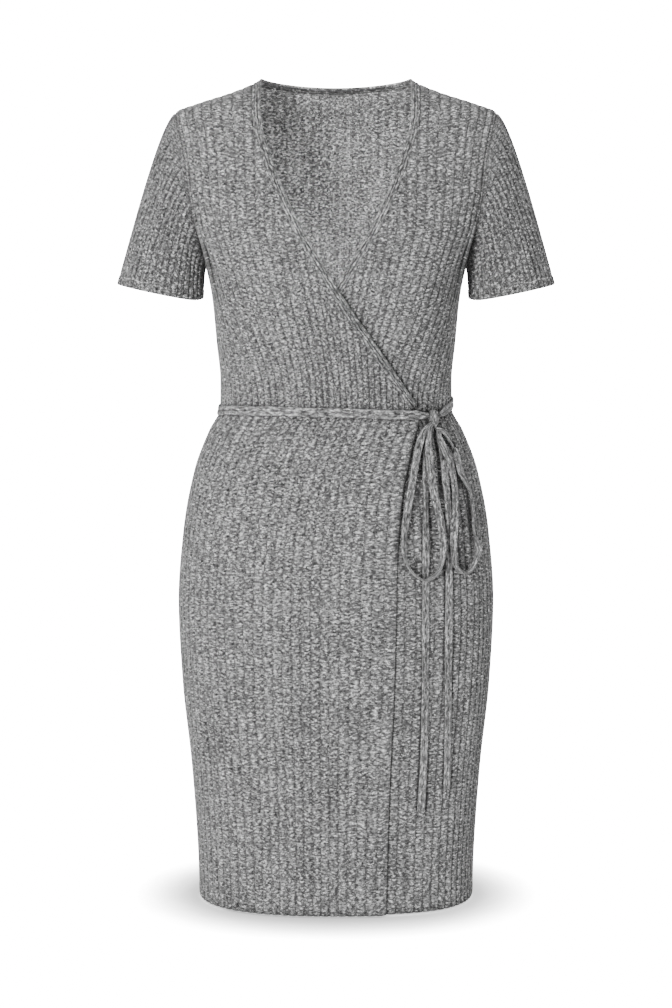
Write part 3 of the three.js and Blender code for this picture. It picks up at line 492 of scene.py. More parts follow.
class Cloth:
    """A mesh made of grids that are moved onto the figure and joined where they meet."""

    def __init__(self, name: str) -> None:
        """Starts an empty mesh with room for the cloth's marks.

        Args:
            name: the object's name.
        """
        self.name = name
        self.bm = bmesh.new()
        self.mark = self.bm.verts.layers.float_vector.new("cloth")

    def grid(self, points: Array, marks: Array, outward: Array) -> None:
        """Lays one grid, with its faces turned outwards.

        Args:
            points: columns by rows of points, in millimetres.
            marks: for each, millimetres across and along the cloth, and its place in ribs.
            outward: for each, a vector that points out of the dress.
        """
        columns, rows = points.shape[:2]
        across = points[1:, :-1] - points[:-1, :-1]
        along = points[:-1, 1:] - points[:-1, :-1]
        flip = np.sum(np.cross(across, along) * outward[:-1, :-1]) < 0
        before = set(self.bm.faces) if flip else set()
        sheet = bmesh.ops.create_grid(
            self.bm, x_segments=columns - 1, y_segments=rows - 1, size=1.0
        )
        for vert in sheet["verts"]:
            i = round((vert.co.x + 1) / 2 * (columns - 1))
            j = round((vert.co.y + 1) / 2 * (rows - 1))
            vert.co = Vector(points[i, j]) * MM
            vert[self.mark] = Vector(marks[i, j])
        if flip:
            new = [face for face in self.bm.faces if face not in before]
            bmesh.ops.reverse_faces(self.bm, faces=new)

    def finish(self, material: bpy.types.Material, weld: float = 0.02) -> bpy.types.Object:
        """Joins the grids and makes the object.

        Args:
            material: what it is made of.
            weld: points nearer than this, in millimetres, become one.

        Returns:
            The object, at the origin.
        """
        if weld:
            bmesh.ops.remove_doubles(self.bm, verts=self.bm.verts, dist=weld * MM)
        obj = add_object(self.name, self.bm, material)
        mesh = obj.data
        marks = np.zeros(len(mesh.vertices) * 3, np.float32)
        mesh.attributes["cloth"].data.foreach_get("vector", marks)
        corners = np.zeros(len(mesh.loops), np.int32)
        mesh.loops.foreach_get("vertex_index", corners)
        uv = marks.reshape(-1, 3)[corners, :2] * MM
        mesh.uv_layers.new(name="cloth_uv").data.foreach_set("uv", uv.ravel())
        return obj


def thicken(obj: bpy.types.Object, thickness: float) -> None:
    """Gives cloth its thickness, inwards.

    Args:
        obj: the piece.
        thickness: in millimetres.
    """
    shell = obj.modifiers.new("Cloth thickness", "SOLIDIFY")
    shell.thickness = thickness * MM
    shell.offset = -1.0
    shell.use_even_offset = False


def dress_node(
    obj: bpy.types.Object,
    node: str,
) -> None:
    """Lets a piece stand for its CAD node.

    Args:
        obj: the piece.
        node: the CAD node that it stands for.
    """
    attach(obj, "root")
    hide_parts(node)


def srgb(code: str) -> Colour:
    """Turns an sRGB hex code into a linear colour.

    Args:
        code: a hash sign and six hex digits.

    Returns:
        The colour, with an alpha of 1.
    """
    parts = [int(code[i : i + 2], 16) / 255 for i in (1, 3, 5)]
    linear = [p / 12.92 if p <= 0.04045 else ((p + 0.055) / 1.055) ** 2.4 for p in parts]
    return (*linear, 1.0)


class Nodes:
    """Adds nodes to one material and joins them."""

    def __init__(self, name: str) -> None:
        """Makes an empty material.

        Args:
            name: the material's name.
        """
        self.material = bpy.data.materials.new(name)
        self.material.use_nodes = True
        self.tree = self.material.node_tree
        self.tree.nodes.clear()

    def add(
        self,
        kind: str,
        inputs: dict[str | int, Socket | Colour] | None = None,
        **settings: str | int,
    ) -> bpy.types.Node:
        """Adds a node.

        Args:
            kind: the node's type name, without its ShaderNode start.
            inputs: socket name or number to a constant or an output socket.
            settings: the node's own properties.

        Returns:
            The node.
        """
        node = self.tree.nodes.new("ShaderNode" + kind)
        for key, value in settings.items():
            setattr(node, key, value)
        for key, value in (inputs or {}).items():
            if isinstance(value, bpy.types.NodeSocket):
                self.tree.links.new(value, node.inputs[key])
            else:
                node.inputs[key].default_value = value
        return node

    def maths(self, operation: str, *values: Socket) -> Socket:
        """Returns the output of a maths node on constants or sockets."""
        return self.add("Math", dict(enumerate(values)), operation=operation).outputs[0]

    def ramp(self, factor: Socket, stops: Sequence[tuple[float, Colour]]) -> Socket:
        """Adds a colour ramp.

        Args:
            factor: what runs along it.
            stops: positions with their linear colours.

        Returns:
            Its colour output.
        """
        node = self.add("ValToRGB", {0: factor})
        elements = node.color_ramp.elements
        while len(elements) < len(stops):
            elements.new(0.5)
        for element, (position, colour) in zip(elements, stops):
            element.position = position
            element.color = colour
        return node.outputs[0]


class Flecks(NamedTuple):
    """A layer of noise: the size of a fleck in millimetres, and where in the noise it lies."""

    length: float
    height: float
    seed: float
    detail: float = 1.0
    twist: float = 0.0


@dataclass(frozen=True)
class MarledKnit:
    """Rib knit of marled cotton and viscose yarn, grey with light and dark slubs.

    Sizes are in millimetres of cloth. The courses are drawn twice as coarse as real ones, which
    are too fine to show.
    """

    name: str = "Marled rib knit, cotton and viscose"
    # The yarn's greys, where each stands in the mix, and how far the whole is darkened as painted shade
    greys: tuple[str, ...] = ("#242424", "#545454", "#777777", "#b2b2b2", "#ffffff")
    stops: tuple[float, ...] = (0.33, 0.43, 0.51, 0.59, 0.67)
    shift: float = 0.0
    # Slubs that run along a course, and mottling over them
    course: float = 2.0
    slub_length: float = 3.7
    slub_spread: float = 1.2
    row_step: float = 3.7
    yarn_share: float = 0.45
    slub_share: float = 0.3
    mottle_length: float = 1.5
    mottle_height: float = 0.98
    mottle_share: float = 0.25
    ground: float = 0.86
    ground_mean: float = 0.49
    # Courses that waver and don't line up from rib to rib, and broad clouds of shade
    waver: float = 3.2
    waver_flecks: Flecks = Flecks(9.0, 7.0, 5.0, detail=0.0)
    rib_shift: float = 173.0
    cloud_share: float = 0.1
    cloud_flecks: Flecks = Flecks(60.0, 45.0, 77.0)
    # Loose fibres: short curled lines, light ones on light slubs and dark ones on dark slubs
    curl: float = 4.1
    curl_squash: float = 0.58
    curl_twist: float = 1.3
    fibre_width: float = 0.045
    fibre_edge: float = 7.0
    fibre_gain: float = 0.95
    fibre_from: float = 0.52
    gap_gain: float = 0.26
    gap_below: float = 0.5
    # Painted shade in the groove between two ribs, which closes to the eye where the cloth turns away
    painted_shade_colour: str = "#181818"
    groove_shade: float = 0.28
    groove_reach: float = 0.17
    groove_open: float = 0.7
    groove_shut: float = 2.2
    groove_break: float = 1.5
    # Shade deep in creases and beneath what lies on the cloth
    crevice: float = 13.0
    darkest: float = 0.66
    # A matt surface with a soft bloom of fibres at grazing angles, where the flecks fade
    roughness: float = 0.93
    specular: float = 0.25
    sheen: float = 0.22
    sheen_roughness: float = 0.5
    fade: float = 0.5
    stitch_depth: float = 0.5
    stitch_strength: float = 0.8
    stitch_mottle: float = 0.7

    def build(self) -> bpy.types.Material:
        """Lays the pattern along the cloth's own marks.

        Returns:
            The material.
        """
        n = Nodes(self.name)
        marks = n.add("Attribute", attribute_name="cloth").outputs["Vector"]
        u, v, ribs = n.add("SeparateXYZ", {0: marks}).outputs
        chance = n.add("TexWhiteNoise", {"W": n.maths("FLOOR", ribs)}, noise_dimensions="1D").outputs[0]
        v = n.maths("MULTIPLY_ADD", chance, self.rib_shift, v)
        v = n.maths("MULTIPLY_ADD", self._noise(n, u, v, self.waver_flecks), self.waver, v)
        course = n.maths("DIVIDE", v, self.course)
        mottle = self._noise(n, u, v, Flecks(self.mottle_length, self.mottle_height, 31.0))
        facing = n.add("LayerWeight", {"Blend": 0.5}).outputs["Facing"]
        shade = self._shade(n, u, v, course, mottle, facing)
        colour = n.ramp(shade, [(stop, srgb(code)) for stop, code in zip(self.stops, self.greys)])
        # Painted shade: ambient occlusion darkens creases and cloth beneath what lies on it, and with
        # the groove shade draws the colour towards near black
        clear = n.add("AmbientOcclusion", {"Distance": self.crevice * MM}, samples=8).outputs["AO"]
        hidden = n.maths("SUBTRACT", 1.0, clear)
        shaded = n.maths("ADD", self._painted_groove_shade(n, ribs, mottle, facing), hidden)
        darkened = n.add(
            "Mix",
            {0: n.maths("MINIMUM", shaded, self.darkest), 6: colour, 7: srgb(self.painted_shade_colour)},
            data_type="RGBA",
        ).outputs[2]
        surface = n.add(
            "BsdfPrincipled",
            {
                "Base Color": darkened,
                "Roughness": self.roughness,
                "Specular IOR Level": self.specular,
                "Sheen Weight": self.sheen,
                "Sheen Roughness": self.sheen_roughness,
                "Normal": self._stitches(n, course, mottle),
            },
        )
        n.add("OutputMaterial", {0: surface.outputs[0]})
        return n.material

    @staticmethod
    def _noise(n: Nodes, u: Socket, v: Socket, flecks: Flecks) -> Socket:
        """Adds noise drawn out along the courses.

        Args:
            n: the material's nodes.
            u, v: places across and along the cloth.
            flecks: their size and seed.

        Returns:
            The noise, about 0.5 in the mean.
        """
        across = n.maths("DIVIDE", u, flecks.length)
        along = n.maths("DIVIDE", v, flecks.height)
        place = n.add("CombineXYZ", {0: across, 1: along, 2: flecks.seed}).outputs[0]
        inputs = {"Vector": place, "Scale": 1.0, "Detail": flecks.detail, "Roughness": 0.6}
        return n.add("TexNoise", {**inputs, "Distortion": flecks.twist}).outputs[0]

    def _shade(
        self, n: Nodes, u: Socket, v: Socket, course: Socket, mottle: Socket, facing: Socket
    ) -> Socket:
        """Mixes slubs, mottling, loose fibres and clouds.

        Args:
            n: the material's nodes.
            u, v: places across and along the cloth.
            course: v counted in courses.
            mottle: the mottling.
            facing: how obliquely the cloth is seen.

        Returns:
            The place on the ramp of greys.
        """
        row = n.maths("MULTIPLY", n.maths("FLOOR", course), self.row_step)
        yarn = self._noise(n, u, row, Flecks(self.slub_length, 1.0, 0.0))
        spread = (self.slub_length * self.slub_spread, self.course * self.slub_spread)
        slubs = self._noise(n, u, v, Flecks(*spread, 13.0))
        slubbed = n.maths("MULTIPLY", slubs, self.slub_share)
        yarns = n.maths("MULTIPLY_ADD", yarn, self.yarn_share, slubbed)
        mixed = n.maths("MULTIPLY_ADD", mottle, self.mottle_share, yarns)
        mixed = n.maths("MULTIPLY_ADD", mixed, self.ground, (1 - self.ground) * self.ground_mean)
        light = self._curls(n, u, v, 47.0, n.maths("SUBTRACT", slubs, self.fibre_from))
        dark = self._curls(n, u, v, 91.0, n.maths("SUBTRACT", self.gap_below, slubs))
        mixed = n.maths("MULTIPLY_ADD", light, self.fibre_gain, mixed)
        mixed = n.maths("MULTIPLY_ADD", dark, -self.gap_gain, mixed)
        # Painted shade: the whole pattern darkened by this much
        mixed = n.maths("SUBTRACT", mixed, self.shift)
        away = n.maths("SUBTRACT", mixed, 0.5)
        faded = n.maths("MULTIPLY", away, n.maths("MULTIPLY", facing, self.fade))
        mixed = n.maths("SUBTRACT", mixed, faded)
        clouds = n.maths("SUBTRACT", self._noise(n, u, v, self.cloud_flecks), 0.5)
        return n.maths("MULTIPLY_ADD", clouds, self.cloud_share, mixed)

    def _curls(self, n: Nodes, u: Socket, v: Socket, seed: float, held: Socket) -> Socket:
        """Draws short curled lines, as loose fibres of the yarn make.

        Args:
            n: the material's nodes.
            u, v: places across and along the cloth.
            seed: where in the noise they lie.
            held: above 0 where a line may show.

        Returns:
            1 on a line and 0 away from it.
        """
        flecks = Flecks(self.curl, self.curl * self.curl_squash, seed, 0.0, self.curl_twist)
        field = self._noise(n, u, v, flecks)
        away = n.maths("ABSOLUTE", n.maths("SUBTRACT", field, 0.5))
        line = n.maths("SUBTRACT", 1.0, n.maths("DIVIDE", away, self.fibre_width))
        share = n.maths("MULTIPLY", held, self.fibre_edge)
        kept = n.maths("MINIMUM", n.maths("MAXIMUM", share, 0.0), 1.0)
        return n.maths("MULTIPLY", n.maths("MAXIMUM", line, 0.0), kept)

    def _painted_groove_shade(self, n: Nodes, ribs: Socket, mottle: Socket, facing: Socket) -> Socket:
        """Paints shade into the groove between two ribs.

        Args:
            n: the material's nodes.
            ribs: the place counted in ribs.
            mottle: what breaks the groove up.
            facing: how obliquely the cloth is seen, which shuts the groove.

        Returns:
            The share of painted shade.
        """
        away = n.maths("PINGPONG", ribs, 0.5)
        deep = n.maths("SUBTRACT", 1.0, n.maths("DIVIDE", away, self.groove_reach))
        broken = n.maths("SUBTRACT", self.groove_break, mottle)
        shut = n.maths("MULTIPLY_ADD", facing, self.groove_shut, self.groove_open)
        shade = n.maths("MULTIPLY", n.maths("MAXIMUM", deep, 0.0), self.groove_shade)
        return n.maths("MULTIPLY", n.maths("MULTIPLY", shade, shut), broken)

    def _stitches(self, n: Nodes, course: Socket, mottle: Socket) -> Socket:
        """Raises each course and its mottling a little.

        Args:
            n: the material's nodes.
            course: the place counted in courses.
            mottle: the mottling.

        Returns:
            The bumped normal.
        """
        side = n.maths("PINGPONG", course, 0.5)
        height = n.maths("MULTIPLY_ADD", mottle, self.stitch_mottle, side)
        depth = {"Strength": self.stitch_strength, "Distance": self.stitch_depth * MM}
        return n.add("Bump", {"Height": height, **depth}).outputs[0]


@dataclass(frozen=True)
class StudioPaper:
    """White paper floor that glows overexposed white to the camera, but for a painted soft shadow
    beside what stands on it.
    """

    name: str = "White studio paper"
    colour: str = "#f4f4f4"
    glow: float = 20.0
    shade_reach: float = 90.0
    stops: tuple[tuple[float, float], ...] = (
        (0.0, 0.03),
        (0.45, 0.04),
        (0.6, 0.062),
        (0.72, 0.11),
        (0.84, 0.25),
        (0.93, 0.55),
        (1.0, 1.0),
    )

    def build(self) -> bpy.types.Material:
        """Makes paper that glows to the camera and is plain paper to everything else.

        Returns:
            The material.
        """
        n = Nodes(self.name)
        seen = n.add("LightPath").outputs["Is Camera Ray"]
        reach = {"Distance": self.shade_reach * MM}
        # Painted shadow: the camera's glow dims where ambient occlusion finds the dress close by
        clear = n.add("AmbientOcclusion", reach, samples=16).outputs["AO"]
        lit = n.ramp(clear, [(position, (value, value, value, 1.0)) for position, value in self.stops])
        strength = n.maths("MULTIPLY", lit, self.glow)
        paper = n.add("BsdfDiffuse", {0: srgb(self.colour)}).outputs[0]
        glow = n.add("Emission", {0: WHITE, 1: strength}).outputs[0]
        n.add("OutputMaterial", {0: n.add("MixShader", {0: seen, 1: paper, 2: glow}).outputs[0]})
        return n.material


class Side(Enum):
    """Which side of the wrap a front is on."""

    OVER = "over"
    UNDER = "under"


class Half(Enum):
    """The front or the back of the bodice."""

    FRONT = "front"
    BACK = "back"


@dataclass(frozen=True)
class Armhole:
    """The armhole seen from the side: an egg with its narrow end up."""

    front: float = 44.0
    back: float = 50.0
    egg: float = 0.3

    def depth(self, half: Half) -> float:
        """Returns how far it reaches from the side line."""
        return self.front if half is Half.FRONT else self.back

    def reach(self, z: Array, half: Half) -> Array:
        """Works out how far it reaches forward or back.

        Args:
            z: heights.
            half: front or back.

        Returns:
            The reach from the side line.
        """
        middle, tall = (SHOULDER_Z + UNDERARM_Z) / 2, (SHOULDER_Z - UNDERARM_Z) / 2
        up = np.clip((z - middle) / tall, -1, 1)
        return self.depth(half) * np.sqrt(1 - up * up) * (1 - self.egg * up)

    def x(self, z: Array, half: Half) -> Array:
        """Finds its edge on the dress.

        Args:
            z: heights.
            half: front or back.

        Returns:
            The edge's x.
        """
        level = np.minimum(z, SHOULDER_Z)
        depth = figure.front(level) if half is Half.FRONT else figure.back(level)
        n = figure.square(level)
        return figure.side(level) * (1 - (self.reach(level, half) / depth) ** n) ** (1 / n)


ARMHOLE = Armhole()


def slide(turn: Array, z: Array, direction: Array, distance: float) -> tuple[Array, Array]:
    """Moves places over the figure.

    Args:
        turn, z: the places.
        direction: unit vectors to move along.
        distance: how far, in millimetres.

    Returns:
        The turns and heights that it reaches.
    """
    steps = 4
    nudge = 0.2
    for _ in range(steps):
        point = figure.point(turn, z)
        by_turn = (figure.point(turn + nudge, z) - point) / nudge
        by_z = (figure.point(turn, z - nudge) - point) / -nudge
        e, f, g = (np.sum(a * b, -1) for a, b in ((by_turn,) * 2, (by_turn, by_z), (by_z,) * 2))
        a, b = np.sum(by_turn * direction, -1), np.sum(by_z * direction, -1)
        scale = distance / steps / (e * g - f * f)
        turn = turn + (a * g - b * f) * scale
        z = z + (b * e - a * f) * scale
    return turn, z


def evenly(turn: Array, z: Array, count: int) -> tuple[Array, Array]:
    """Spaces places evenly along a line on the figure.

    Args:
        turn, z: the line's places.
        count: how many to return.

    Returns:
        Turns and heights.
    """
    points = figure.point(turn, z)
    length = lengths_along(points)
    at = np.linspace(0, length[-1], count)
    return np.interp(at, length, turn), np.interp(at, length, z)


@dataclass(frozen=True)
class EdgeLine:
    """A line on the figure that a binding follows, with the way across it."""

    turn: Array
    z: Array
    across: Array

    @classmethod
    def through(cls, turn: Array, z: Array, inward: float) -> "EdgeLine":
        """Makes the line through places.

        Args:
            turn, z: the places.
            inward: 1 or -1, to turn the way across the line inwards.

        Returns:
            The line.
        """
        points = figure.point(turn, z)
        along = np.gradient(points, axis=0)
        across = unit(np.cross(along, figure.normal(turn, z))) * inward
        return cls(turn, z, across)

    def moved(self, distance: float) -> tuple[Array, Array]:
        """Returns the places at this distance across the line."""
        return slide(self.turn, self.z, self.across, distance)


def wrap_line(count: int) -> EdgeLine:
    """Follows the neck edge of the wearer's right front, from the shoulder to the knot.

    Args:
        count: how many places.

    Returns:
        The line.
    """
    z = NECK_EDGE[-1].z * np.linspace(0, 1, 400) ** 2
    turn = figure.turn_at_x(neck_edge(z), z)
    turn[np.isnan(turn)] = -90
    turn[0] = -90
    return EdgeLine.through(*evenly(turn, z, count), 1.0)


def back_neck_line(count: int) -> EdgeLine:
    """Follows the back neckline, from the wearer's right shoulder to the left one.

    Args:
        count: how many places.

    Returns:
        The line.
    """
    share = np.linspace(0, 1, 200)
    turn = -90 - 180 * share
    z = -BACK_NECK_DROP * np.sin(np.pi * share) ** BACK_NECK_POWER
    return EdgeLine.through(*evenly(turn, z, count), -1.0)


class Cuts:
    """Where the bodice panels are cut for the neck binding."""

    overlap: float = 0.8
    front_count: int = 160
    back_count: int = 120

    def __init__(self) -> None:
        """Works out both cut lines a little inside the binding's sewn edge."""
        wrap = wrap_line(self.front_count)
        turn, z = wrap.moved(BAND_WIDTH - self.overlap)
        turn[0] = -90
        front = figure.point(turn, np.minimum(z, 0))
        order = np.argsort(front[:, 2])
        self.front_z, self.front_x = front[order, 2], front[order, 0]
        back = back_neck_line(self.back_count)
        turn, z = back.moved(BAND_WIDTH - self.overlap)
        line = figure.point(turn, np.minimum(z, 0))
        order = np.argsort(line[:, 0])
        self.back_x, self.back_z = line[order, 0], line[order, 2]

    def below(self, turn: Array, z: Array, half: Half) -> Array:
        """Tells which places are on the panel's side of the cut.

        Args:
            turn, z: the places.
            half: front or back.

        Returns:
            True for those that are.
        """
        if half is Half.FRONT:
            return figure.point(turn, z)[..., 0] < np.interp(z, self.front_z, self.front_x)
        x = figure.point(180 - turn, z)[..., 0]
        return z < np.interp(x, self.back_x, self.back_z)


CUTS = Cuts()


def underlap(turn: Array, z: Array, depth: float) -> Array:
    """Lets the under front in, beneath the over one.

    Args:
        turn, z: places on the bodice front, mirrored.
        depth: how far in it lies at most.

    Returns:
        How far it stands off, 0 or less.
    """
    level = np.clip(z, NECK_EDGE[-1].z, 0)
    over = np.nan_to_num(figure.turn_at_x(neck_edge(level), level), nan=-90.0)
    return -depth * (1 - smoothstep(-turn - over, 2, 26))


def skirt_drop(turn: Array, z: Array, depth: float) -> Array:
    """Returns how far the skirt's under front lies in."""
    return -depth * (1 - smoothstep(turn - skirt_edge(z), 2, 30))


class BodiceRibs:
    """The paths of the bodice's ribs over one half, and the panel's points along them."""

    lower_rows: int = 42
    upper_rows: int = 26
    longest_lower: float = 0.75
    pull_power: int = 3
    scan_step: float = 2.0
    halvings: int = 18
    fine_rows: int = 160

    def __init__(self, half: Half) -> None:
        """Finds the rib that meets the armhole at the knee of the paths.

        Args:
            half: front or back.
        """
        self.half = half
        self.drift = WRAP_DRIFT if half is Half.FRONT else 0.0
        self.knee_x = float(ARMHOLE.x(np.array(KNEE_Z), half))
        angles = np.linspace(0, 89, 2000)
        self.armhole_angle = float(
            np.interp(self.knee_x - 0.05, figure.x_at(even_turn(angles), KNEE_Z), angles)
        )

    def turn(self, angle: Array, z: Array) -> Array:
        """Follows the ribs up the half.

        Args:
            angle: the ribs' angles.
            z: heights.

        Returns:
            Turns, with nan past the shoulder.
        """
        low = even_turn(angle)
        down = smoothstep((KNEE_Z - z) / (KNEE_Z - WAIST_Z), 0, 1)
        under = low * (1 - (1 - WAIST_PINCH) * down) + self.drift * down
        start = figure.x_at(low, KNEE_Z)
        pulled = ARMHOLE.x(z, self.half) - self.knee_x
        share = (np.abs(start) / self.knee_x) ** self.pull_power
        over = figure.turn_at_x(start + np.sign(start) * pulled * share, z)
        return np.where(z <= KNEE_Z, under, over)

    def inside(self, angle: Array, z: Array) -> Array:
        """Tells where ribs are still on the panel.

        Args:
            angle: the ribs' angles.
            z: heights.

        Returns:
            True for those that are.
        """
        turn = self.turn(angle, z)
        known = np.nan_to_num(turn, nan=0.0)
        beside = (z > SHOULDER_Z) | (z < UNDERARM_Z)
        forward = np.abs(figure.point(known, z)[..., 1])
        clear = beside | (forward > ARMHOLE.reach(z, self.half))
        clear = clear | (np.abs(angle) <= self.armhole_angle)
        on_half = np.abs(known) <= 90
        return ~np.isnan(turn) & on_half & clear & CUTS.below(known, z, self.half)

    def tops(self, angles: Array) -> Array:
        """Finds where each rib leaves the panel, by steps and then by halving.

        Args:
            angles: the ribs' angles.

        Returns:
            The heights.
        """
        steps = np.arange(WAIST_Z, self.scan_step, self.scan_step)
        grid_angle, grid_z = np.meshgrid(angles, steps, indexing="ij")
        ok = self.inside(grid_angle, np.minimum(grid_z, 0))
        first_out = np.where(ok.all(1), len(steps) - 1, np.argmin(ok, axis=1))
        low = steps[np.maximum(first_out - 1, 0)]
        high = steps[first_out]
        for _ in range(self.halvings):
            middle = (low + high) / 2
            good = self.inside(angles, np.minimum(middle, 0))
            low, high = np.where(good, middle, low), np.where(good, high, middle)
        return np.minimum(low, 0)

    def grid(self, angles: Array, is_side: bool) -> tuple[Array, Array, Array]:
        """Spaces rows along each rib.

        Args:
            angles: the ribs' angles.
            is_side: True for the ribs that end at the armhole's lower half or the side seam.

        Returns:
            Turns, heights and distances from the waist, as columns by rows.
        """
        tops = self.tops(angles)
        share = np.linspace(0, 1, self.fine_rows)
        z = WAIST_Z + (tops - WAIST_Z)[:, None] * share[None, :]
        turn = self.turn(angles[:, None], z)
        turn = np.where(np.isnan(turn), np.sign(angles)[:, None] * 90.0, turn)
        points = figure.point(turn, z)
        step = np.linalg.norm(np.diff(points, axis=1), axis=-1)
        length = np.concatenate([np.zeros((len(angles), 1)), np.cumsum(step, axis=1)], axis=1)
        rows = self.lower_rows + (0 if is_side else self.upper_rows)
        out_turn, out_z, out_v = (np.zeros((len(angles), rows + 1)) for _ in range(3))
        for i, total in enumerate(length[:, -1]):
            if is_side:
                at = np.linspace(0, total, rows + 1)
            else:
                knee = float(np.interp(KNEE_Z, z[i], length[i]))
                shelf = min(knee, self.longest_lower * total)
                lower = np.linspace(0, shelf, self.lower_rows + 1)
                at = np.concatenate([lower, np.linspace(shelf, total, self.upper_rows + 1)[1:]])
            out_turn[i] = np.interp(at, length[i], turn[i])
            out_z[i] = np.interp(at, length[i], z[i])
            out_v[i] = at
        return out_turn, out_z, out_v


@dataclass(frozen=True)
class BodicePanel:
    """One panel of the bodice, from the waist to the shoulder."""

    name: str
    node: str
    half: Half
    side: Side = Side.OVER
    thickness: float = 1.3
    drop: float = UNDER_DROP
    rib_angle: float = 4.0
    last_front_rib: int = 17
    armhole_gap: float = 0.05
    least_length: float = 3.0
    shoulder_band: float = 30.0
    flattened: float = 22.0
    top_dip: float = 0.6
    armhole_margin: float = 3.0
    side_fade: float = 20.0
    flat_width: float = 400.0
    flat_length: float = 400.0

    def columns(self) -> Array:
        """Spaces the columns, from the side seam to past the wrap's edge.

        Returns:
            Their angles.
        """
        drift = WRAP_DRIFT if self.half is Half.FRONT else 0
        first = -math.ceil((90 + drift) / WAIST_PINCH / self.rib_angle)
        last = self.last_front_rib if self.half is Half.FRONT else -first
        ribs = RIB.columns(last - first) + first
        return ribs * self.rib_angle

    def build(self, material: bpy.types.Material) -> bpy.types.Object:
        """Makes the panel and dresses it.

        Args:
            material: the knit.

        Returns:
            The panel.
        """
        paths = BodiceRibs(self.half)
        cloth = Cloth(self.name)
        angles = self.columns()
        edge = paths.armhole_angle
        alive = paths.tops(angles) > WAIST_Z + self.least_length
        main = angles[alive & (np.abs(angles) < edge - self.armhole_gap)]
        outer_left = angles[alive & (angles < -edge - self.armhole_gap)]
        parts = [(self._closed(main, edge), False), (np.append(outer_left, -edge), True)]
        if self.half is Half.BACK:
            outer_right = angles[alive & (angles > edge + self.armhole_gap)]
            parts.append((np.insert(outer_right, 0, edge), True))
        for part, is_side in parts:
            turn, z, v = paths.grid(part, is_side)
            place = figure.place(self._turned(turn), z, self._relief(part, turn, z, v))
            ribs = part[:, None] / self.rib_angle
            marks = stack_marks(ribs * RIB.width, v, ribs)
            cloth.grid(place, marks, figure.normal(self._turned(turn), z))
        obj = cloth.finish(material)
        thicken(obj, self.thickness)
        dress_node(obj, self.node)
        return obj

    def _closed(self, angles: Array, edge: float) -> Array:
        """Returns the columns with one on each armhole edge."""
        closed = np.insert(angles, 0, -edge)
        return np.append(closed, edge) if self.half is Half.BACK else closed

    def _turned(self, turn: Array) -> Array:
        """Turns the panel's own places to the true side of the dress.

        Args:
            turn: turns on the wearer's right, or on the back as on a front.

        Returns:
            True turns.
        """
        if self.half is Half.BACK:
            return 180 - turn
        return turn if self.side is Side.OVER else -turn

    def _relief(self, angles: Array, turn: Array, z: Array, v: Array) -> Array:
        """Raises the ribs and draws the seams in.

        Args:
            angles: the columns' angles.
            turn, z: the places.
            v: distances from the waist.

        Returns:
            How far the cloth stands off the figure.
        """
        top = v[:, -1:] - v
        near_top = z > SHOULDER_Z - self.shoulder_band
        flat = np.where(near_top, smoothstep(top, -2, self.flattened), 1.0)
        out = RIB.rise(angles / self.rib_angle)[:, None] * flat + 1 - flat
        margin = self.armhole_margin
        from_armhole = np.abs(figure.point(turn, z)[..., 1]) - ARMHOLE.reach(z, self.half)
        is_beside = (z < SHOULDER_Z + margin) & (z > UNDERARM_Z - margin)
        out += np.where(is_beside, seam_dip(np.abs(from_armhole)), 0.0)
        out += seam_dip(top, self.top_dip)
        from_side = np.abs(90 - np.abs(turn)) * MM_PER_DEGREE
        out += seam_dip(from_side) * smoothstep(-z, -UNDERARM_Z - self.side_fade, -UNDERARM_Z)
        if self.side is Side.UNDER:
            out += underlap(turn, z, self.drop)
        return out


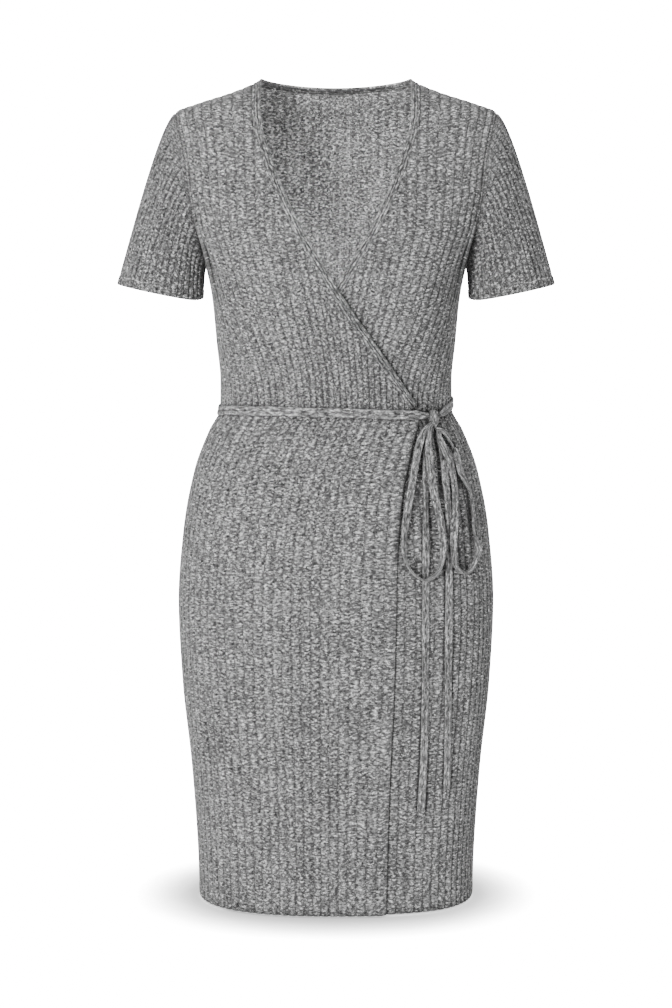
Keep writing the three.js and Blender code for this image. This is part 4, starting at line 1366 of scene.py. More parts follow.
@dataclass(frozen=True)
class SkirtPanel:
    """One panel of the skirt, from the waist to its turned hem. This one is the back."""

    name: str = "Skirt_back"
    node: str = "skirt_back"
    ribs: int = 45
    sewn: tuple[bool, bool] = (True, True)
    has_fine_columns: bool = False
    flat_width: float = 510.0
    thickness: float = 1.3
    hem: float = 15.0
    hem_out: float = 0.35
    cut_extra: float = 20.0
    plain_rows: int = 91

    def turn_at(self, share: Array, z: Array) -> Array:
        """Returns the turns of places a share of the way across, at heights z."""
        return even_turn(90 + 180 * share) + 0 * z

    def stand_off(self, turn: Array, z: Array, share: Array) -> Array:
        """Returns how far the panel stands off the figure."""
        return np.zeros(turn.shape)

    def edge_dip(self, distance: Array, is_sewn: bool) -> Array:
        """Returns how far an upright edge is drawn in, here as at a plain seam or a raw edge."""
        return seam_dip(distance) if is_sewn else seam_dip(distance, 0.7, 1.2)

    def heights(self) -> Array:
        """Spaces the rows, closer together at the hem and the waist.

        Returns:
            The rows' heights.
        """
        plain = np.linspace(HEM_Z + self.hem + 6, WAIST_Z - 10, self.plain_rows)
        foot = HEM_Z + np.array([0.0, 0.7, 2.2, 6.0, 9.0, 11.5, 13.0, 14.0, 15.0, 16.0, 18.0])
        top = WAIST_Z - np.array([6.0, 3.0, 0.5])
        return np.concatenate([foot, plain, top])

    def build(self, material: bpy.types.Material) -> bpy.types.Object:
        """Makes the panel and dresses it.

        Args:
            material: the knit.

        Returns:
            The panel.
        """
        columns = RIB.columns(self.ribs, self.has_fine_columns)
        share = (columns / self.ribs)[:, None]
        turn = self.turn_at(share, self.heights()[None, :])
        z = np.broadcast_to(self.heights()[None, :], turn.shape)
        out = RIB.rise(columns)[:, None] + self.stand_off(turn, z, share)
        out = out + self.edge_dip(columns[:, None] * RIB.width, self.sewn[0])
        out = out + self.edge_dip((self.ribs - columns[:, None]) * RIB.width, self.sewn[1])
        out = out + self._hem_relief(z - HEM_Z)
        # Raw edges stop half a rib short in phase, so no painted groove shade falls on their edge walls
        first, last = (0.0 if is_sewn else 0.5 for is_sewn in self.sewn)
        phase = np.clip(columns, first, self.ribs - last)[:, None]
        marks = stack_marks(columns[:, None] * RIB.width, z - HEM_Z, phase)
        cloth = Cloth(self.name)
        cloth.grid(figure.place(turn, z, out), marks, figure.normal(turn, z))
        obj = cloth.finish(material, weld=0)
        thicken(obj, self.thickness)
        dress_node(obj, self.node)
        return obj

    def _hem_relief(self, up: Array) -> Array:
        """Returns the relief of the turned hem, by height above its edge."""
        turned = self.hem_out * (1 - smoothstep(up, self.hem - 2, self.hem))
        return turned + (seam_dip(up - self.hem + 0.6, 0.45, 0.9) + seam_dip(up, 0.8, 1.2))


@dataclass(frozen=True)
class SkirtFrontOver(SkirtPanel):
    """The wearer's right front, whose free edge the knot lifts and which lies down lower."""

    name: str = "Skirt_front_over"
    node: str = "skirt_front_over"
    ribs: int = 28
    sewn: tuple[bool, bool] = (True, False)
    flat_width: float = 315.0
    lifted_from: float = 0.86

    def turn_at(self, share: Array, z: Array) -> Array:
        """Returns the turns, from the side seam to the slanting free edge."""
        even = -90 + (skirt_edge(z) + 90) * share
        return even - EVEN_OUT * np.sin(np.radians(2 * even)) * (1 - share**4)

    def stand_off(self, turn: Array, z: Array, share: Array) -> Array:
        """Returns the lift near the free edge."""
        return skirt_lift(z) * smoothstep(share, self.lifted_from, 1)

    def edge_dip(self, distance: Array, is_sewn: bool) -> Array:
        """Returns how far an upright edge is drawn in: the free one rolls down."""
        return seam_dip(distance) if is_sewn else seam_dip(distance, 2.1, 4.0)


@dataclass(frozen=True)
class SkirtFrontUnder(SkirtPanel):
    """The wearer's left front, which passes beneath the over front."""

    name: str = "Skirt_front_under"
    node: str = "skirt_front_under"
    ribs: int = 36
    sewn: tuple[bool, bool] = (False, True)
    has_fine_columns: bool = True
    flat_width: float = 385.0
    hidden_turn: float = -48.0

    def turn_at(self, share: Array, z: Array) -> Array:
        """Returns the turns, from the hidden edge to the side seam."""
        return self.hidden_turn + (90 - self.hidden_turn) * share + 0 * z

    def stand_off(self, turn: Array, z: Array, share: Array) -> Array:
        """Returns the drop beneath the over front."""
        return skirt_drop(turn, z, SKIRT_DROP)


class SleevePull(NamedTuple):
    """How the sleeve leaves the armhole at one angle round it from the shoulder."""

    around: float
    long: float
    out: float
    down: float


class Drape(NamedTuple):
    """A soft fold that runs down a sleeve: where it is, its depth and its half sizes."""

    around: float
    share: float
    out: float
    wide: float
    half: float


@dataclass(frozen=True)
class Sleeve:
    """A short set-in sleeve, worked out as the wearer's left one."""

    name: str
    node: str
    is_mirrored: bool
    ribs: int = 40
    rows: int = 46
    cuff_x: float = 204.5
    cuff_z: float = -244.0
    cuff_wide: float = 49.5
    cuff_deep: float = 52.0
    cuff_slope: float = math.radians(11.7)
    cuff_flare: float = math.radians(5)
    corner: float = 3.5
    corner_turn: float = 26.0
    hem: float = 11.0
    hem_out: float = 0.3
    thickness: float = 1.3
    lean_out: float = -0.12
    flat: tuple[float, float] = (430.0, 235.0)
    pulls: tuple[SleevePull, ...] = (
        SleevePull(0, 52, 0.94, 0.34),
        SleevePull(90, 62, 0.82, 0.57),
        SleevePull(180, 34, 0.42, 0.91),
    )
    drapes: tuple[Drape, ...] = (
        Drape(40, 0.45, -1.6, 9, 0.35),
        Drape(66, 0.6, 1.0, 8, 0.3),
        Drape(96, 0.5, -1.4, 10, 0.4),
        Drape(136, 0.4, -2.0, 12, 0.35),
        Drape(232, 0.4, -2.0, 12, 0.35),
        Drape(268, 0.55, -1.4, 10, 0.4),
        Drape(318, 0.45, -1.5, 9, 0.35),
    )
    drape_slant: float = 16.0

    def head(self, around: Array) -> tuple[Array, Array]:
        """Follows the armhole's edge round from the shoulder.

        Args:
            around: angles round the sleeve, 0 at the shoulder and 180 at the underarm.

        Returns:
            The edge's points and normals.
        """
        edges = [armhole_edge(half) for half in (Half.FRONT, Half.BACK)]
        points, normals = np.zeros((len(around), 3)), np.zeros((len(around), 3))
        for (turn, z), is_back in zip(edges, (False, True)):
            chosen = (around > 180) == is_back
            line, normal = figure.point(turn, z), figure.normal(turn, z)
            length = lengths_along(line)
            share = (360 - around[chosen] if is_back else around[chosen]) / 180
            for axis in range(3):
                points[chosen, axis] = np.interp(share * length[-1], length, line[:, axis])
                normals[chosen, axis] = np.interp(share * length[-1], length, normal[:, axis])
        return points, unit(normals)

    def build(self, material: bpy.types.Material) -> bpy.types.Object:
        """Makes the sleeve, with its seam below the arm, and dresses it.

        Args:
            material: the knit.

        Returns:
            The sleeve.
        """
        columns = RIB.columns(self.ribs)
        around = 360 * columns / self.ribs - 180
        around = np.where(around < 0, around + 360, around)
        around[0], around[-1] = 180.0001, 180.0
        head, head_normal = self.head(around)
        cuff = self._cuff(around)
        length = np.linalg.norm(cuff - head, axis=-1)
        t = self._rows(length)
        point = self._middle(head, cuff, around, t)
        normal = self._normals(point, head_normal, t)
        out = self._relief(columns, around, t, length[:, None])
        ribs = columns[:, None]
        marks = stack_marks(ribs * RIB.width, (t - 1) * length[:, None], ribs)
        side = np.array([-1.0 if self.is_mirrored else 1.0, 1.0, 1.0])
        cloth = Cloth(self.name)
        cloth.grid((point + normal * out[..., None]) * side, marks, normal * side)
        obj = cloth.finish(material, weld=0)
        thicken(obj, self.thickness)
        dress_node(obj, self.node)
        return obj

    def _cuff(self, around: Array) -> Array:
        """Draws the cuff's sloped rim, with a sharper corner below the arm.

        Args:
            around: angles round the sleeve.

        Returns:
            The rim's points.
        """
        wide = self.cuff_wide * np.cos(np.radians(around))
        corner = self.corner * np.exp(-(((around - 180) / self.corner_turn) ** 2))
        rim = [
            self.cuff_x + wide * math.cos(self.cuff_slope),
            -self.cuff_deep * np.sin(np.radians(around)),
            self.cuff_z + wide * math.sin(self.cuff_slope) + corner,
        ]
        return np.stack(rim, -1)

    def _rows(self, length: Array) -> Array:
        """Spaces the rows down each column, closer together at the hem.

        Args:
            length: the columns' lengths.

        Returns:
            Shares of the way down.
        """
        hem_share = np.minimum(self.hem / length, 0.3)[:, None]
        plain = np.linspace(0, 1, self.rows)[None, :] ** 1.1
        foot = np.array([[0.06, 0.16, 0.5, 0.86, 0.96, 1.0]])
        return np.concatenate([plain * (1 - hem_share), 1 - hem_share + foot * hem_share], axis=1)

    def _middle(self, head: Array, cuff: Array, around: Array, t: Array) -> Array:
        """Draws each column as a cubic from the armhole to the cuff.

        Args:
            head, cuff: where it starts and ends.
            around: the columns' angles round the sleeve.
            t: the rows' shares of the way.

        Returns:
            The points.
        """
        radians = np.radians(around)
        from_top = np.abs((around + 180) % 360 - 180)
        long, out, down = (
            Curve([p.around for p in self.pulls], [getattr(p, field) for p in self.pulls])(from_top)
            for field in ("long", "out", "down")
        )
        leave = unit(np.stack([out, self.lean_out * np.sin(radians), -down], -1)) * long[:, None]
        lean = self.cuff_slope + self.cuff_flare * np.cos(radians)
        length = np.linalg.norm(cuff - head, axis=-1)
        arrive = np.stack([np.sin(lean), 0 * lean, -np.cos(lean)], -1) * length[:, None]
        t = t[..., None]
        return (
            head[:, None] * (2 * t**3 - 3 * t**2 + 1)
            + leave[:, None] * (t**3 - 2 * t**2 + t)
            + cuff[:, None] * (-2 * t**3 + 3 * t**2)
            + arrive[:, None] * (t**3 - t**2)
        )

    @staticmethod
    def _normals(point: Array, head_normal: Array, t: Array) -> Array:
        """Turns the sleeve's normals to the bodice's at the armhole.

        Args:
            point: the sleeve's points.
            head_normal: the bodice's normals at the armhole.
            t: the rows' shares of the way.

        Returns:
            The normals.
        """
        across = np.gradient(point, axis=0)
        across[0] = across[-1] = point[1] - point[-2]
        down = np.gradient(point, axis=1)
        own = unit(np.cross(across, down))
        middle = point.mean(axis=0, keepdims=True)
        own = own * np.sign(np.sum(own * (point - middle), -1, keepdims=True))
        blend = smoothstep(t, 0.0, 0.12)[..., None]
        return unit(head_normal[:, None] * (1 - blend) + own * blend)

    def _relief(self, columns: Array, around: Array, t: Array, length: Array) -> Array:
        """Raises the ribs, the hem and the drapes.

        Args:
            columns: the columns' places in ribs.
            around: their angles round the sleeve.
            t: the rows' shares of the way.
            length: the columns' lengths.

        Returns:
            How far the cloth stands off.
        """
        out = RIB.rise(columns)[:, None] + seam_dip(t * length)
        out = out + self._draped(around[:, None], t)
        to_cuff = (1 - t) * length
        out = out + self.hem_out * (1 - smoothstep(to_cuff, self.hem - 1.5, self.hem))
        out = out + seam_dip(to_cuff - self.hem + 0.5, 0.45, 0.9) + seam_dip(to_cuff, 0.7, 1.0)
        return out + seam_dip(np.minimum(columns, self.ribs - columns)[:, None] * RIB.width)

    def _draped(self, around: Array, t: Array) -> Array:
        """Sums the soft drapes that run down from the armhole.

        Args:
            around: angles round the sleeve.
            t: shares of the way down.

        Returns:
            How far they move the cloth out.
        """
        total = np.zeros(np.broadcast(around, t).shape)
        for drape in self.drapes:
            aside = (around - drape.around - self.drape_slant * (t - drape.share)) / drape.wide
            along = (t - drape.share) / drape.half
            total = total + drape.out * np.exp(-(aside**2) - along**2)
        return total


def armhole_edge(half: Half) -> tuple[Array, Array]:
    """Follows the armhole's edge on the wearer's left, from shoulder to underarm.

    Args:
        half: front or back.

    Returns:
        Turns and heights.
    """
    paths = BodiceRibs(half)
    edge = np.array([paths.armhole_angle])
    turn, z, _ = paths.grid(-edge, False)
    upper = slice(paths.lower_rows, None)
    upper_turn, upper_z = turn[0, upper][::-1], z[0, upper][::-1]
    angles = -np.arange(paths.armhole_angle + 0.5, 90, 0.5)
    tops = paths.tops(angles)
    side_turn = paths.turn(angles, tops)
    keep = tops > UNDERARM_Z + 0.3
    all_turn = np.concatenate([upper_turn, side_turn[keep], [-90.0]])
    all_z = np.concatenate([upper_z, tops[keep], [UNDERARM_Z]])
    all_turn = -all_turn
    return (all_turn if half is Half.FRONT else 180 - all_turn), all_z


class BandRow(NamedTuple):
    """A line along a band: its distance from the edge, its height and whether it is stitched."""

    across: float
    out: float
    is_stitched: bool = False


BAND = (
    BandRow(-0.3, -1.1),
    BandRow(0.0, 0.5),
    BandRow(0.7, 1.5),
    BandRow(1.7, 1.9),
    BandRow(2.5, 1.7),
    BandRow(3.1, 0.7, True),
    BandRow(3.7, 1.7),
    BandRow(4.6, 2.0),
    BandRow(5.5, 1.7),
    BandRow(6.1, 0.7, True),
    BandRow(6.7, 1.7),
    BandRow(7.7, 1.9),
    BandRow(8.7, 1.6),
    BandRow(9.4, 1.0),
    BandRow(9.9, 0.1, True),
    BandRow(10.3, -0.9),
)


@dataclass(frozen=True)
class Neckband:
    """A narrow binding with two rows of stitches, folded over the neck edge."""

    name: str
    node: str
    line: EdgeLine
    is_mirrored: bool = False
    sunk: float = 0.0
    is_back: bool = False
    neck_rise: float = 3.2
    thickness: float = 1.6
    flat_width: float = 12.0
    low_end: float = 0.4
    end_reach: float = 16.0
    rise_reach: float = 12.0
    mark_scale: tuple[float, float] = (0.8, 0.9)

    def build(self, material: bpy.types.Material) -> bpy.types.Object:
        """Makes the band and dresses it.

        Args:
            material: the binding's knit.

        Returns:
            The band.
        """
        across = np.array([row.across for row in BAND])
        turns, heights = zip(*(self.line.moved(row.across) for row in BAND))
        turn, z = np.stack(turns, 1), np.clip(np.stack(heights, 1), WAIST_Z, 0)
        if self.line.turn[0] == -90:
            turn[0] = -90
        if self.line.turn[-1] <= -269.9:
            turn[-1] = -270
        along = lengths_along(figure.point(self.line.turn, self.line.z))
        from_end = np.minimum(along, along[-1] - along) if self.is_back else along
        eased = self.low_end + (1 - self.low_end) * smoothstep(from_end, 0, self.end_reach)
        out = np.array([row.out for row in BAND])[None, :] * eased[:, None]
        if self.sunk:
            out = out + underlap(turn, z, self.sunk)
        true_turn = -turn if self.is_mirrored else turn
        place = figure.place(true_turn, z, out)
        if self.is_back:
            stands = self.neck_rise * (1 - np.sin(np.pi * along / along[-1]))
            stands = stands * smoothstep(from_end, 0, self.rise_reach)
            place[..., 2] += stands[:, None] * (1 - across / BAND_WIDTH)
        # Stitched rows take phase 0, where the knit paints groove shade along the stitch lines
        phase = np.array([0.0 if row.is_stitched else 0.5 for row in BAND])
        marks = stack_marks(along[:, None] * self.mark_scale[0], across * self.mark_scale[1], phase)
        cloth = Cloth(self.name)
        cloth.grid(place, marks, figure.normal(true_turn, z))
        obj = cloth.finish(material, weld=0)
        thicken(obj, self.thickness)
        dress_node(obj, self.node)
        return obj


@dataclass(frozen=True)
class Strap:
    """The tie's flat tube, swept along stations, with a crease down its middle."""

    name: str
    thick: float = 2.6
    girth: float = 22.0
    mark_scale: float = 0.9
    pinched_end: float = 0.35
    halves: tuple[tuple[float, float], ...] = (
        (1.0, 0.0),
        (0.93, 0.62),
        (0.74, 0.95),
        (0.5, 1.0),
        (0.25, 0.86),
        (0.0, 0.72),
        (-0.25, 0.86),
        (-0.5, 1.0),
        (-0.74, 0.95),
        (-0.93, 0.62),
    )

    def section(self) -> tuple[Array, Array]:
        """Returns the closed section as shares of half its width and of half its thickness."""
        u, v = np.array(self.halves).T
        return np.concatenate([u, -u, u[:1]]), np.concatenate([v, -v, v[:1]])

    def build(
        self,
        centre: Array,
        across: Array,
        up: Array,
        half: Array,
        material: bpy.types.Material,
    ) -> bpy.types.Object:
        """Makes the strap, closed at both ends.

        Args:
            centre: the stations' centres.
            across, up: the unit ways of its width and of its thickness.
            half: half its width at each station.
            material: the tie's knit.

        Returns:
            The strap.
        """
        u, v = self.section()
        along = lengths_along(centre)
        from_end = np.minimum(along, along[-1] - along)
        squeeze = self.pinched_end + (1 - self.pinched_end) * smoothstep(from_end, -0.5, 2.5)
        point = (
            centre[None]
            + across[None] * (u[:, None] * half[None])[..., None]
            + up[None] * (v[:, None] * squeeze[None] * self.thick / 2)[..., None]
        )
        index = np.arange(len(u))
        around = index / index[-1] * self.girth
        # The crease and both folded edges take phase 0, where the knit paints groove shade
        creased = np.where(index % (len(self.halves) // 2) == 0, 0.0, 0.5)
        cloth = Cloth(self.name)
        marks = stack_marks(along[None] * self.mark_scale, around[:, None], creased[:, None])
        cloth.grid(point, marks, point - centre[None])
        bmesh.ops.remove_doubles(cloth.bm, verts=cloth.bm.verts, dist=0.001 * MM)
        edges = [edge for edge in cloth.bm.edges if edge.is_boundary]
        bmesh.ops.holes_fill(cloth.bm, edges=edges, sides=0)
        bmesh.ops.recalc_face_normals(cloth.bm, faces=cloth.bm.faces)
        return cloth.finish(material, weld=0)


@dataclass(frozen=True)
class WaistTie:
    """The part of the tie that goes round the waist, gathered a little and wandering."""

    stations: int = 300
    lift: float = 2.6
    knot_lift: float = 1.5
    knot_share: float = 0.55
    flat_width: float = 12.0

    def build(self, material: bpy.types.Material) -> bpy.types.Object:
        """Makes the tie and dresses it.

        Args:
            material: the tie's knit.

        Returns:
            The tie.
        """
        order = [-row.at for row in WAIST_TIE]
        turn = -np.linspace(order[0], order[-1], self.stations)
        z = Curve(order, [row.z for row in WAIST_TIE])(-turn) + self._wander(turn)
        from_end = np.minimum(-turn - order[0], order[-1] + turn) * MM_PER_DEGREE
        wide = self.knot_share + (1 - self.knot_share) * smoothstep(from_end, 0, 20)
        half = WAIST_TIE_WIDTH / 2 * wide
        lift = self.lift + self.knot_lift * (1 - smoothstep(from_end, 0, 30))
        upper, lower = figure.place(turn, z + half, lift), figure.place(turn, z - half, lift)
        centre, across = (upper + lower) / 2, unit(upper - lower)
        along = np.gradient(centre, axis=0)
        up = unit(np.cross(along, across))
        up = up * np.sign(np.sum(up * figure.normal(turn, z), -1))[:, None]
        obj = Strap("Tie_round_the_waist").build(centre, across, up, half, material)
        dress_node(obj, "tie_waist")
        return obj

    @staticmethod
    def _wander(turn: Array) -> Array:
        """Returns how far the tie strays up and down, in two uneven waves."""
        return 0.5 * np.sin(np.radians(turn * 5.3)) + 0.3 * np.sin(np.radians(turn * 11.0 + 40))


BOW = {
    "tie_loop_over": (
        BowRow(113.4, -389.5, 7.5),
        BowRow(108.4, -394.6, 7),
        BowRow(100, -401, 5.8),
        BowRow(95.6, -418, 5.6),
        BowRow(90.3, -439, 5.6),
        BowRow(85, -464, 5.6, 4),
        BowRow(80.4, -490, 5.8, 12),
        BowRow(77.2, -514, 6.4, 30),
        BowRow(76.6, -532, 7.8, 56),
        BowRow(81.4, -548, 9.4, 80),
        BowRow(91.4, -560.4, 9.8, 90),
        BowRow(103.3, -566, 9.8, 90),
        BowRow(115.3, -559.6, 9.8, 90),
        BowRow(122.8, -543.6, 9.2, 74),
        BowRow(123.6, -526, 8.2, 46),
        BowRow(119.4, -498, 6.8, 16),
        BowRow(113.6, -467, 6.2, 4),
        BowRow(108.4, -436, 6),
        BowRow(107, -412, 6.2),
        BowRow(112, -396.8, 7.8),
        BowRow(113.8, -391, 8),
    ),
    "tie_loop_under": (
        BowRow(115.4, -390.4, 7.4),
        BowRow(119.4, -396.2, 7),
        BowRow(129.6, -404, 5.8),
        BowRow(138, -426, 5.8),
        BowRow(146.2, -449, 6, 6),
        BowRow(154, -472, 6.4, 20),
        BowRow(161, -496, 7, 40),
        BowRow(165.6, -520, 8, 66),
        BowRow(165.8, -538, 8.8, 84),
        BowRow(161.4, -552, 9.2, 90),
        BowRow(153.8, -560, 9.4, 90),
        BowRow(145.4, -560, 9.6, 90),
        BowRow(138.4, -551, 9.6, 90),
        BowRow(135.8, -534, 9.4, 80),
        BowRow(136.4, -514, 8.6, 54),
        BowRow(137.6, -492, 7.6, 26),
        BowRow(136.4, -466, 6.8, 6),
        BowRow(132, -438, 6.4),
        BowRow(125, -412, 6.4),
        BowRow(115.8, -398.4, 7.6),
        BowRow(114.8, -392, 8),
    ),
    "tie_tail_over": (
        BowRow(113.6, -390, 5),
        BowRow(112.9, -397, 4),
        BowRow(105.4, -420, 3),
        BowRow(104.2, -460, 3),
        BowRow(104, -530, 3),
        BowRow(103.4, -635, 3),
        BowRow(103.6, -705, 3, 5),
        BowRow(102.4, -777, 3, -5),
        BowRow(99.2, -838, 3),
    ),
    "tie_tail_under": (
        BowRow(114.8, -390, 5),
        BowRow(115.7, -397, 4),
        BowRow(124, -420, 3),
        BowRow(127.4, -454, 3),
        BowRow(129, -492, 3),
        BowRow(129.6, -560, 3),
        BowRow(129.4, -640, 3, -4),
        BowRow(129.6, -720, 3, 5),
        BowRow(128.6, -815, 3),
    ),
}
BOW_NAMES = {
    "tie_loop_over": "Bow_loop_over",
    "tie_loop_under": "Bow_loop_under",
    "tie_tail_over": "Tie_tail_over",
    "tie_tail_under": "Tie_tail_under",
}


def smooth_path(points: Array, count: int) -> tuple[Array, Array]:
    """Draws a centripetal curve through points.

    Args:
        points: the points.
        count: how many to return.

    Returns:
        Points evenly along it, and their places in the rows.
    """
    ends = np.vstack([2 * points[0] - points[1], points, 2 * points[-1] - points[-2]])
    knots = np.concatenate([[0], np.cumsum(np.linalg.norm(np.diff(ends, axis=0), axis=1) ** 0.5)])
    fine, where = [], []
    for i in range(1, len(ends) - 2):
        t0, t1, t2, t3 = knots[i - 1 : i + 3]
        p0, p1, p2, p3 = ends[i - 1 : i + 3]
        t = np.linspace(t1, t2, 40, endpoint=i == len(ends) - 3)[:, None]
        a1 = (t1 - t) / (t1 - t0) * p0 + (t - t0) / (t1 - t0) * p1
        a2 = (t2 - t) / (t2 - t1) * p1 + (t - t1) / (t2 - t1) * p2
        a3 = (t3 - t) / (t3 - t2) * p2 + (t - t2) / (t3 - t2) * p3
        b1 = (t2 - t) / (t2 - t0) * a1 + (t - t0) / (t2 - t0) * a2
        b2 = (t3 - t) / (t3 - t1) * a2 + (t - t1) / (t3 - t1) * a3
        fine.append((t2 - t) / (t2 - t1) * b1 + (t - t1) / (t2 - t1) * b2)
        where.append(i - 1 + (t[:, 0] - t1) / (t2 - t1))
    line, rows = np.vstack(fine), np.concatenate(where)
    length = lengths_along(line)
    at = np.linspace(0, length[-1], count)
    even = np.stack([np.interp(at, length, line[:, k]) for k in range(3)], 1)
    return even, np.interp(at, length, rows)


@dataclass(frozen=True)
class BowStrap:
    """One loop or tail of the bow, narrower where it leaves the knot."""

    node: str
    spacing: float = 3.0
    knot_half: float = 1.8
    knot_reach: float = 42.0
    ripple: float = 0.05
    ripple_length: float = 17.0
    flat_width: float = 11.0

    def build(self, material: bpy.types.Material) -> bpy.types.Object:
        """Makes the strap and dresses it.

        Args:
            material: the tie's knit.

        Returns:
            The strap.
        """
        rows = BOW[self.node]
        x, z, lift, edge = (np.array([getattr(row, key) for row in rows]) for key in BowRow._fields)
        first = figure.turn_at_x(x, z)
        turn = figure.turn_at_x(x - figure.normal(first, z)[:, 0] * lift, z)
        sunk = skirt_drop(turn, z, SKIRT_DROP) * smoothstep(turn - skirt_edge(z), 0, 8)
        points = figure.place(turn, z, lift + sunk)
        centre, where = smooth_path(points, round(lengths_along(points)[-1] / self.spacing))
        index = np.arange(len(rows))
        normal = figure.normal(np.interp(where, index, turn), np.interp(where, index, z))
        tilt = np.radians(np.interp(where, index, edge))[:, None]
        along = unit(np.gradient(centre, axis=0))
        flat = unit(np.cross(along, normal))
        raised = unit(np.cross(flat, along))
        across = flat * np.cos(tilt) + raised * np.sin(tilt)
        up = unit(np.cross(across, along))
        length = lengths_along(centre)
        obj = Strap(BOW_NAMES[self.node]).build(centre, across, up, self._half(length), material)
        dress_node(obj, self.node)
        return obj

    def _half(self, length: Array) -> Array:
        """Widens the strap from the knot, with a slight ripple.

        Args:
            length: lengths along the strap.

        Returns:
            Half its width at each.
        """
        is_loop = self.node.startswith("tie_loop")
        from_knot = np.minimum(length, length[-1] - length) if is_loop else length
        grown = smoothstep(from_knot, 0, self.knot_reach)
        half = self.knot_half + (TIE_WIDTH / 2 - self.knot_half) * grown
        return half * (1 + self.ripple * np.sin(length / self.ripple_length))


@dataclass(frozen=True)
class Knot:
    """The knot: a rounded core with one pleated turn of the tie over it."""

    x: float = 114.4
    z: float = -387.2
    wide: float = 6.6
    tall: float = 11.0
    deep: float = 6.0
    lift: float = 6.7
    segments: int = 48
    rings: int = 36
    turn_half: float = 0.62
    pinch_at: float = 0.72
    pinch: float = 0.16
    pinch_half: float = 0.14
    pleat: float = 0.045
    pleat_rate: float = 11.0
    bulge: float = 0.1
    taper: float = 0.26

    def build(self, material: bpy.types.Material) -> bpy.types.Object:
        """Makes the knot and dresses it.

        Args:
            material: the tie's knit.

        Returns:
            The knot.
        """
        level = np.array(self.z)
        first = figure.turn_at_x(np.array(self.x), level)
        turn = figure.turn_at_x(np.array(self.x - figure.normal(first, level)[0] * self.lift), level)
        normal = Vector(figure.normal(turn, level))
        across = Vector((0, 0, 1)).cross(normal).normalized()
        up = normal.cross(across).normalized()
        centre = Vector(figure.place(turn, level, self.lift))
        bm = bmesh.new()
        mark = bm.verts.layers.float_vector.new("cloth")
        ball = bmesh.ops.create_uvsphere(
            bm, u_segments=self.segments, v_segments=self.rings, radius=1.0
        )
        for vert in ball["verts"]:
            aside, above, out = self._shaped(vert.co)
            vert[mark] = Vector((vert.co.z * 12.0, vert.co.x * 9.0 - vert.co.y * 4.0, 0.5))
            vert.co = (centre + across * aside + up * above + normal * out) * MM
        bmesh.ops.recalc_face_normals(bm, faces=bm.faces)
        obj = add_object("Knot", bm, material)
        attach(obj, "root")
        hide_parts("tie_knot")
        return obj

    def _shaped(self, p: Vector) -> tuple[float, float, float]:
        """Shapes a ball of radius 1 into the knot.

        Args:
            p: a point of the ball.

        Returns:
            How far it lies aside, above and out.
        """
        strap = math.exp(-((p.x / self.turn_half) ** 4))
        pinch = 1 - self.pinch * math.exp(-(((abs(p.x) - self.pinch_at) / self.pinch_half) ** 2))
        pleat = self.pleat * math.sin(p.x * self.pleat_rate) * strap
        bulge = 1 + self.bulge * strap * max(-p.y, 0) + pleat
        taper = 1 - self.taper * p.z
        aside = p.x * self.wide * (1.06 - 0.1 * (1 - p.z) * 0.5) * pinch / taper
        return aside, p.z * self.tall * 0.98, -p.y * self.deep * pinch * bulge


class Softbox(NamedTuple):
    """A square soft light: its place and aim in metres, its side and its watts."""

    name: str
    place: tuple[float, float, float]
    aim: tuple[float, float, float]
    size: float
    power: float


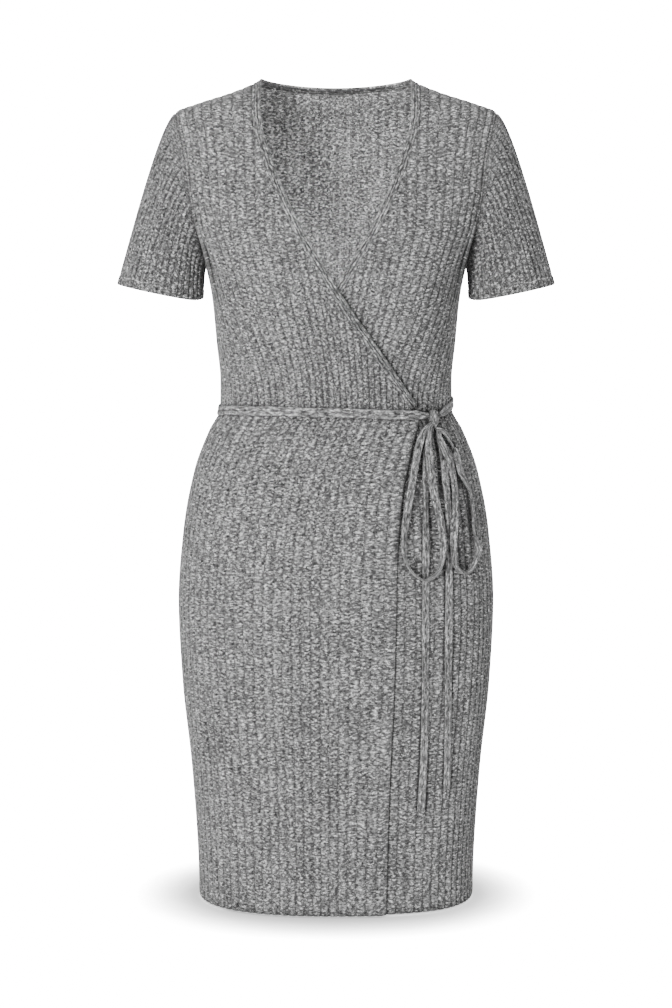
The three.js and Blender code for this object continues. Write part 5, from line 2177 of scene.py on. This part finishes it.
@dataclass(frozen=True)
class Studio:
    """The floor, the soft lights and the camera."""

    floor_gap: float = 2.0
    floor_size: float = 14.0
    lens: float = 76.34
    sensor: float = 36.0
    camera_height: float = -185.8
    camera_distance: float = 2500.0
    camera_tilt: float = 6.97
    surround: float = 0.475
    backdrop: float = 28.0
    softboxes: tuple[Softbox, ...] = (
        Softbox("Key softbox", (-1.2, -2.5, -0.1), (0, 0, -0.45), 0.6, 65.0),
        Softbox("Top softbox", (0.1, -0.7, 1.7), (0, 0, -0.4), 0.9, 16.0),
        Softbox("Back softbox", (0.9, 2.5, 0.1), (0, 0, -0.45), 0.8, 46.0),
        Softbox("Inside lamp", (0.0, -0.045, -0.22), (0.0, 0.09, -0.1), 0.07, 0.4),
    )

    def build(self) -> None:
        """Adds all three."""
        self._floor()
        self._surround()
        for softbox in self.softboxes:
            self._light(softbox)
        self._camera()
        log.info("Studio: %d softboxes", len(self.softboxes))

    def _floor(self) -> None:
        """Lays the paper floor a little below the hem."""
        bm = bmesh.new()
        bmesh.ops.create_grid(bm, x_segments=1, y_segments=1, size=self.floor_size)
        mesh = bpy.data.meshes.new("Studio_floor")
        bm.to_mesh(mesh)
        bm.free()
        mesh.transform(Matrix.Translation((0, 0, (HEM_Z - self.floor_gap) * MM)))
        mesh.materials.append(StudioPaper().build())
        floor = bpy.data.objects.new("Studio_floor", mesh)
        bpy.context.scene.collection.objects.link(floor)

    def _surround(self) -> None:
        """Lights from all round, and shows the camera a bright white backdrop."""
        world = bpy.data.worlds.new("Studio white")
        bpy.context.scene.world = world
        world.use_nodes = True
        tree = world.node_tree
        soft = tree.nodes["Background"]
        soft.inputs["Color"].default_value = WHITE
        soft.inputs["Strength"].default_value = self.surround
        bright = tree.nodes.new("ShaderNodeBackground")
        bright.inputs["Strength"].default_value = self.backdrop
        path = tree.nodes.new("ShaderNodeLightPath")
        mix = tree.nodes.new("ShaderNodeMixShader")
        tree.links.new(path.outputs["Is Camera Ray"], mix.inputs[0])
        tree.links.new(soft.outputs[0], mix.inputs[1])
        tree.links.new(bright.outputs[0], mix.inputs[2])
        tree.links.new(mix.outputs[0], tree.nodes["World Output"].inputs[0])

    @staticmethod
    def _light(softbox: Softbox) -> None:
        """Adds one softbox, unseen by the camera.

        Args:
            softbox: its place, size and power.
        """
        light = bpy.data.lights.new(softbox.name, "AREA")
        light.shape = "SQUARE"
        light.size = softbox.size
        light.energy = softbox.power
        obj = bpy.data.objects.new(softbox.name, light)
        obj.location = softbox.place
        way = Vector(softbox.aim) - Vector(softbox.place)
        obj.rotation_euler = way.to_track_quat("-Z", "Y").to_euler()
        obj.visible_camera = False
        bpy.context.scene.collection.objects.link(obj)

    def _camera(self) -> None:
        """Sets up the camera in front of the dress, tipped down a little."""
        camera = bpy.data.cameras.new("Camera")
        camera.lens = self.lens
        camera.sensor_width = self.sensor
        camera.clip_start, camera.clip_end = 0.05, 60.0
        obj = bpy.data.objects.new("Camera", camera)
        obj.location = (0, -self.camera_distance * MM, self.camera_height * MM)
        obj.rotation_euler = (math.radians(90 - self.camera_tilt), 0, 0)
        bpy.context.scene.collection.objects.link(obj)
        bpy.context.scene.camera = obj


def corners(bounds: tuple[Vector, Vector]) -> list[list[float]]:
    """Returns a box's two corners as plain lists."""
    return [[round(float(c), 5) for c in corner] for corner in bounds]


def main() -> None:
    """Builds every piece in order and the studio round them."""
    logging.basicConfig(level=logging.INFO, format="%(name)s: %(message)s")
    scene = bpy.context.scene
    for obj in list(scene.objects):
        bpy.data.objects.remove(obj)
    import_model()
    # Mid grey marl, flecked light and dark, matt, with soft painted shade in the grooves between its
    # ribs
    knit = MarledKnit().build()
    # The same, a touch darker with painted shade where the sleeves slope away
    sleeves = MarledKnit(name="Marled rib knit of the sleeves, painted shade", shift=0.018).build()
    # Smoother binding with longer flecks and two stitched lines darkened with painted shade
    binding = MarledKnit(
        name="Marled knit binding, single jersey",
        groove_shade=0.7,
        groove_reach=0.5,
        slub_length=5.0,
        course=1.5,
        mottle_length=1.8,
        stitch_depth=0.3,
    ).build()
    # A lighter tie, its greys raised as painted light, with flecks drawn out along it and a crease down
    # its middle in painted shade
    tie = MarledKnit(
        name="Marled knit tie, single jersey",
        greys=("#242424", "#5a5a5a", "#838383", "#b8b8b8", "#ffffff"),
        groove_shade=0.6,
        groove_reach=0.36,
        slub_length=6.0,
        course=1.8,
        mottle_length=2.4,
        stitch_depth=0.3,
    ).build()
    BodicePanel("Bodice_back", "bodice_back", Half.BACK, flat_width=460).build(knit)
    BodicePanel("Bodice_front_over", "bodice_front_over", Half.FRONT).build(knit)
    BodicePanel("Bodice_front_under", "bodice_front_under", Half.FRONT, Side.UNDER).build(knit)
    for panel in (SkirtPanel(), SkirtFrontOver(), SkirtFrontUnder()):
        panel.build(knit)
    Sleeve("Sleeve_left", "sleeve_left", False).build(sleeves)
    Sleeve("Sleeve_right", "sleeve_right", True).build(sleeves)
    Neckband("Neckband_over", "neckband_over", wrap_line(170)).build(binding)
    Neckband("Neckband_under", "neckband_under", wrap_line(170), True, UNDER_DROP).build(binding)
    Neckband("Neckband_back", "neckband_back", back_neck_line(90), is_back=True).build(binding)
    WaistTie().build(tie)
    Knot().build(tie)
    for node in BOW:
        BowStrap(node).build(tie)
    Studio().build()
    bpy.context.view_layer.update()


if __name__ == "__main__":
    main()
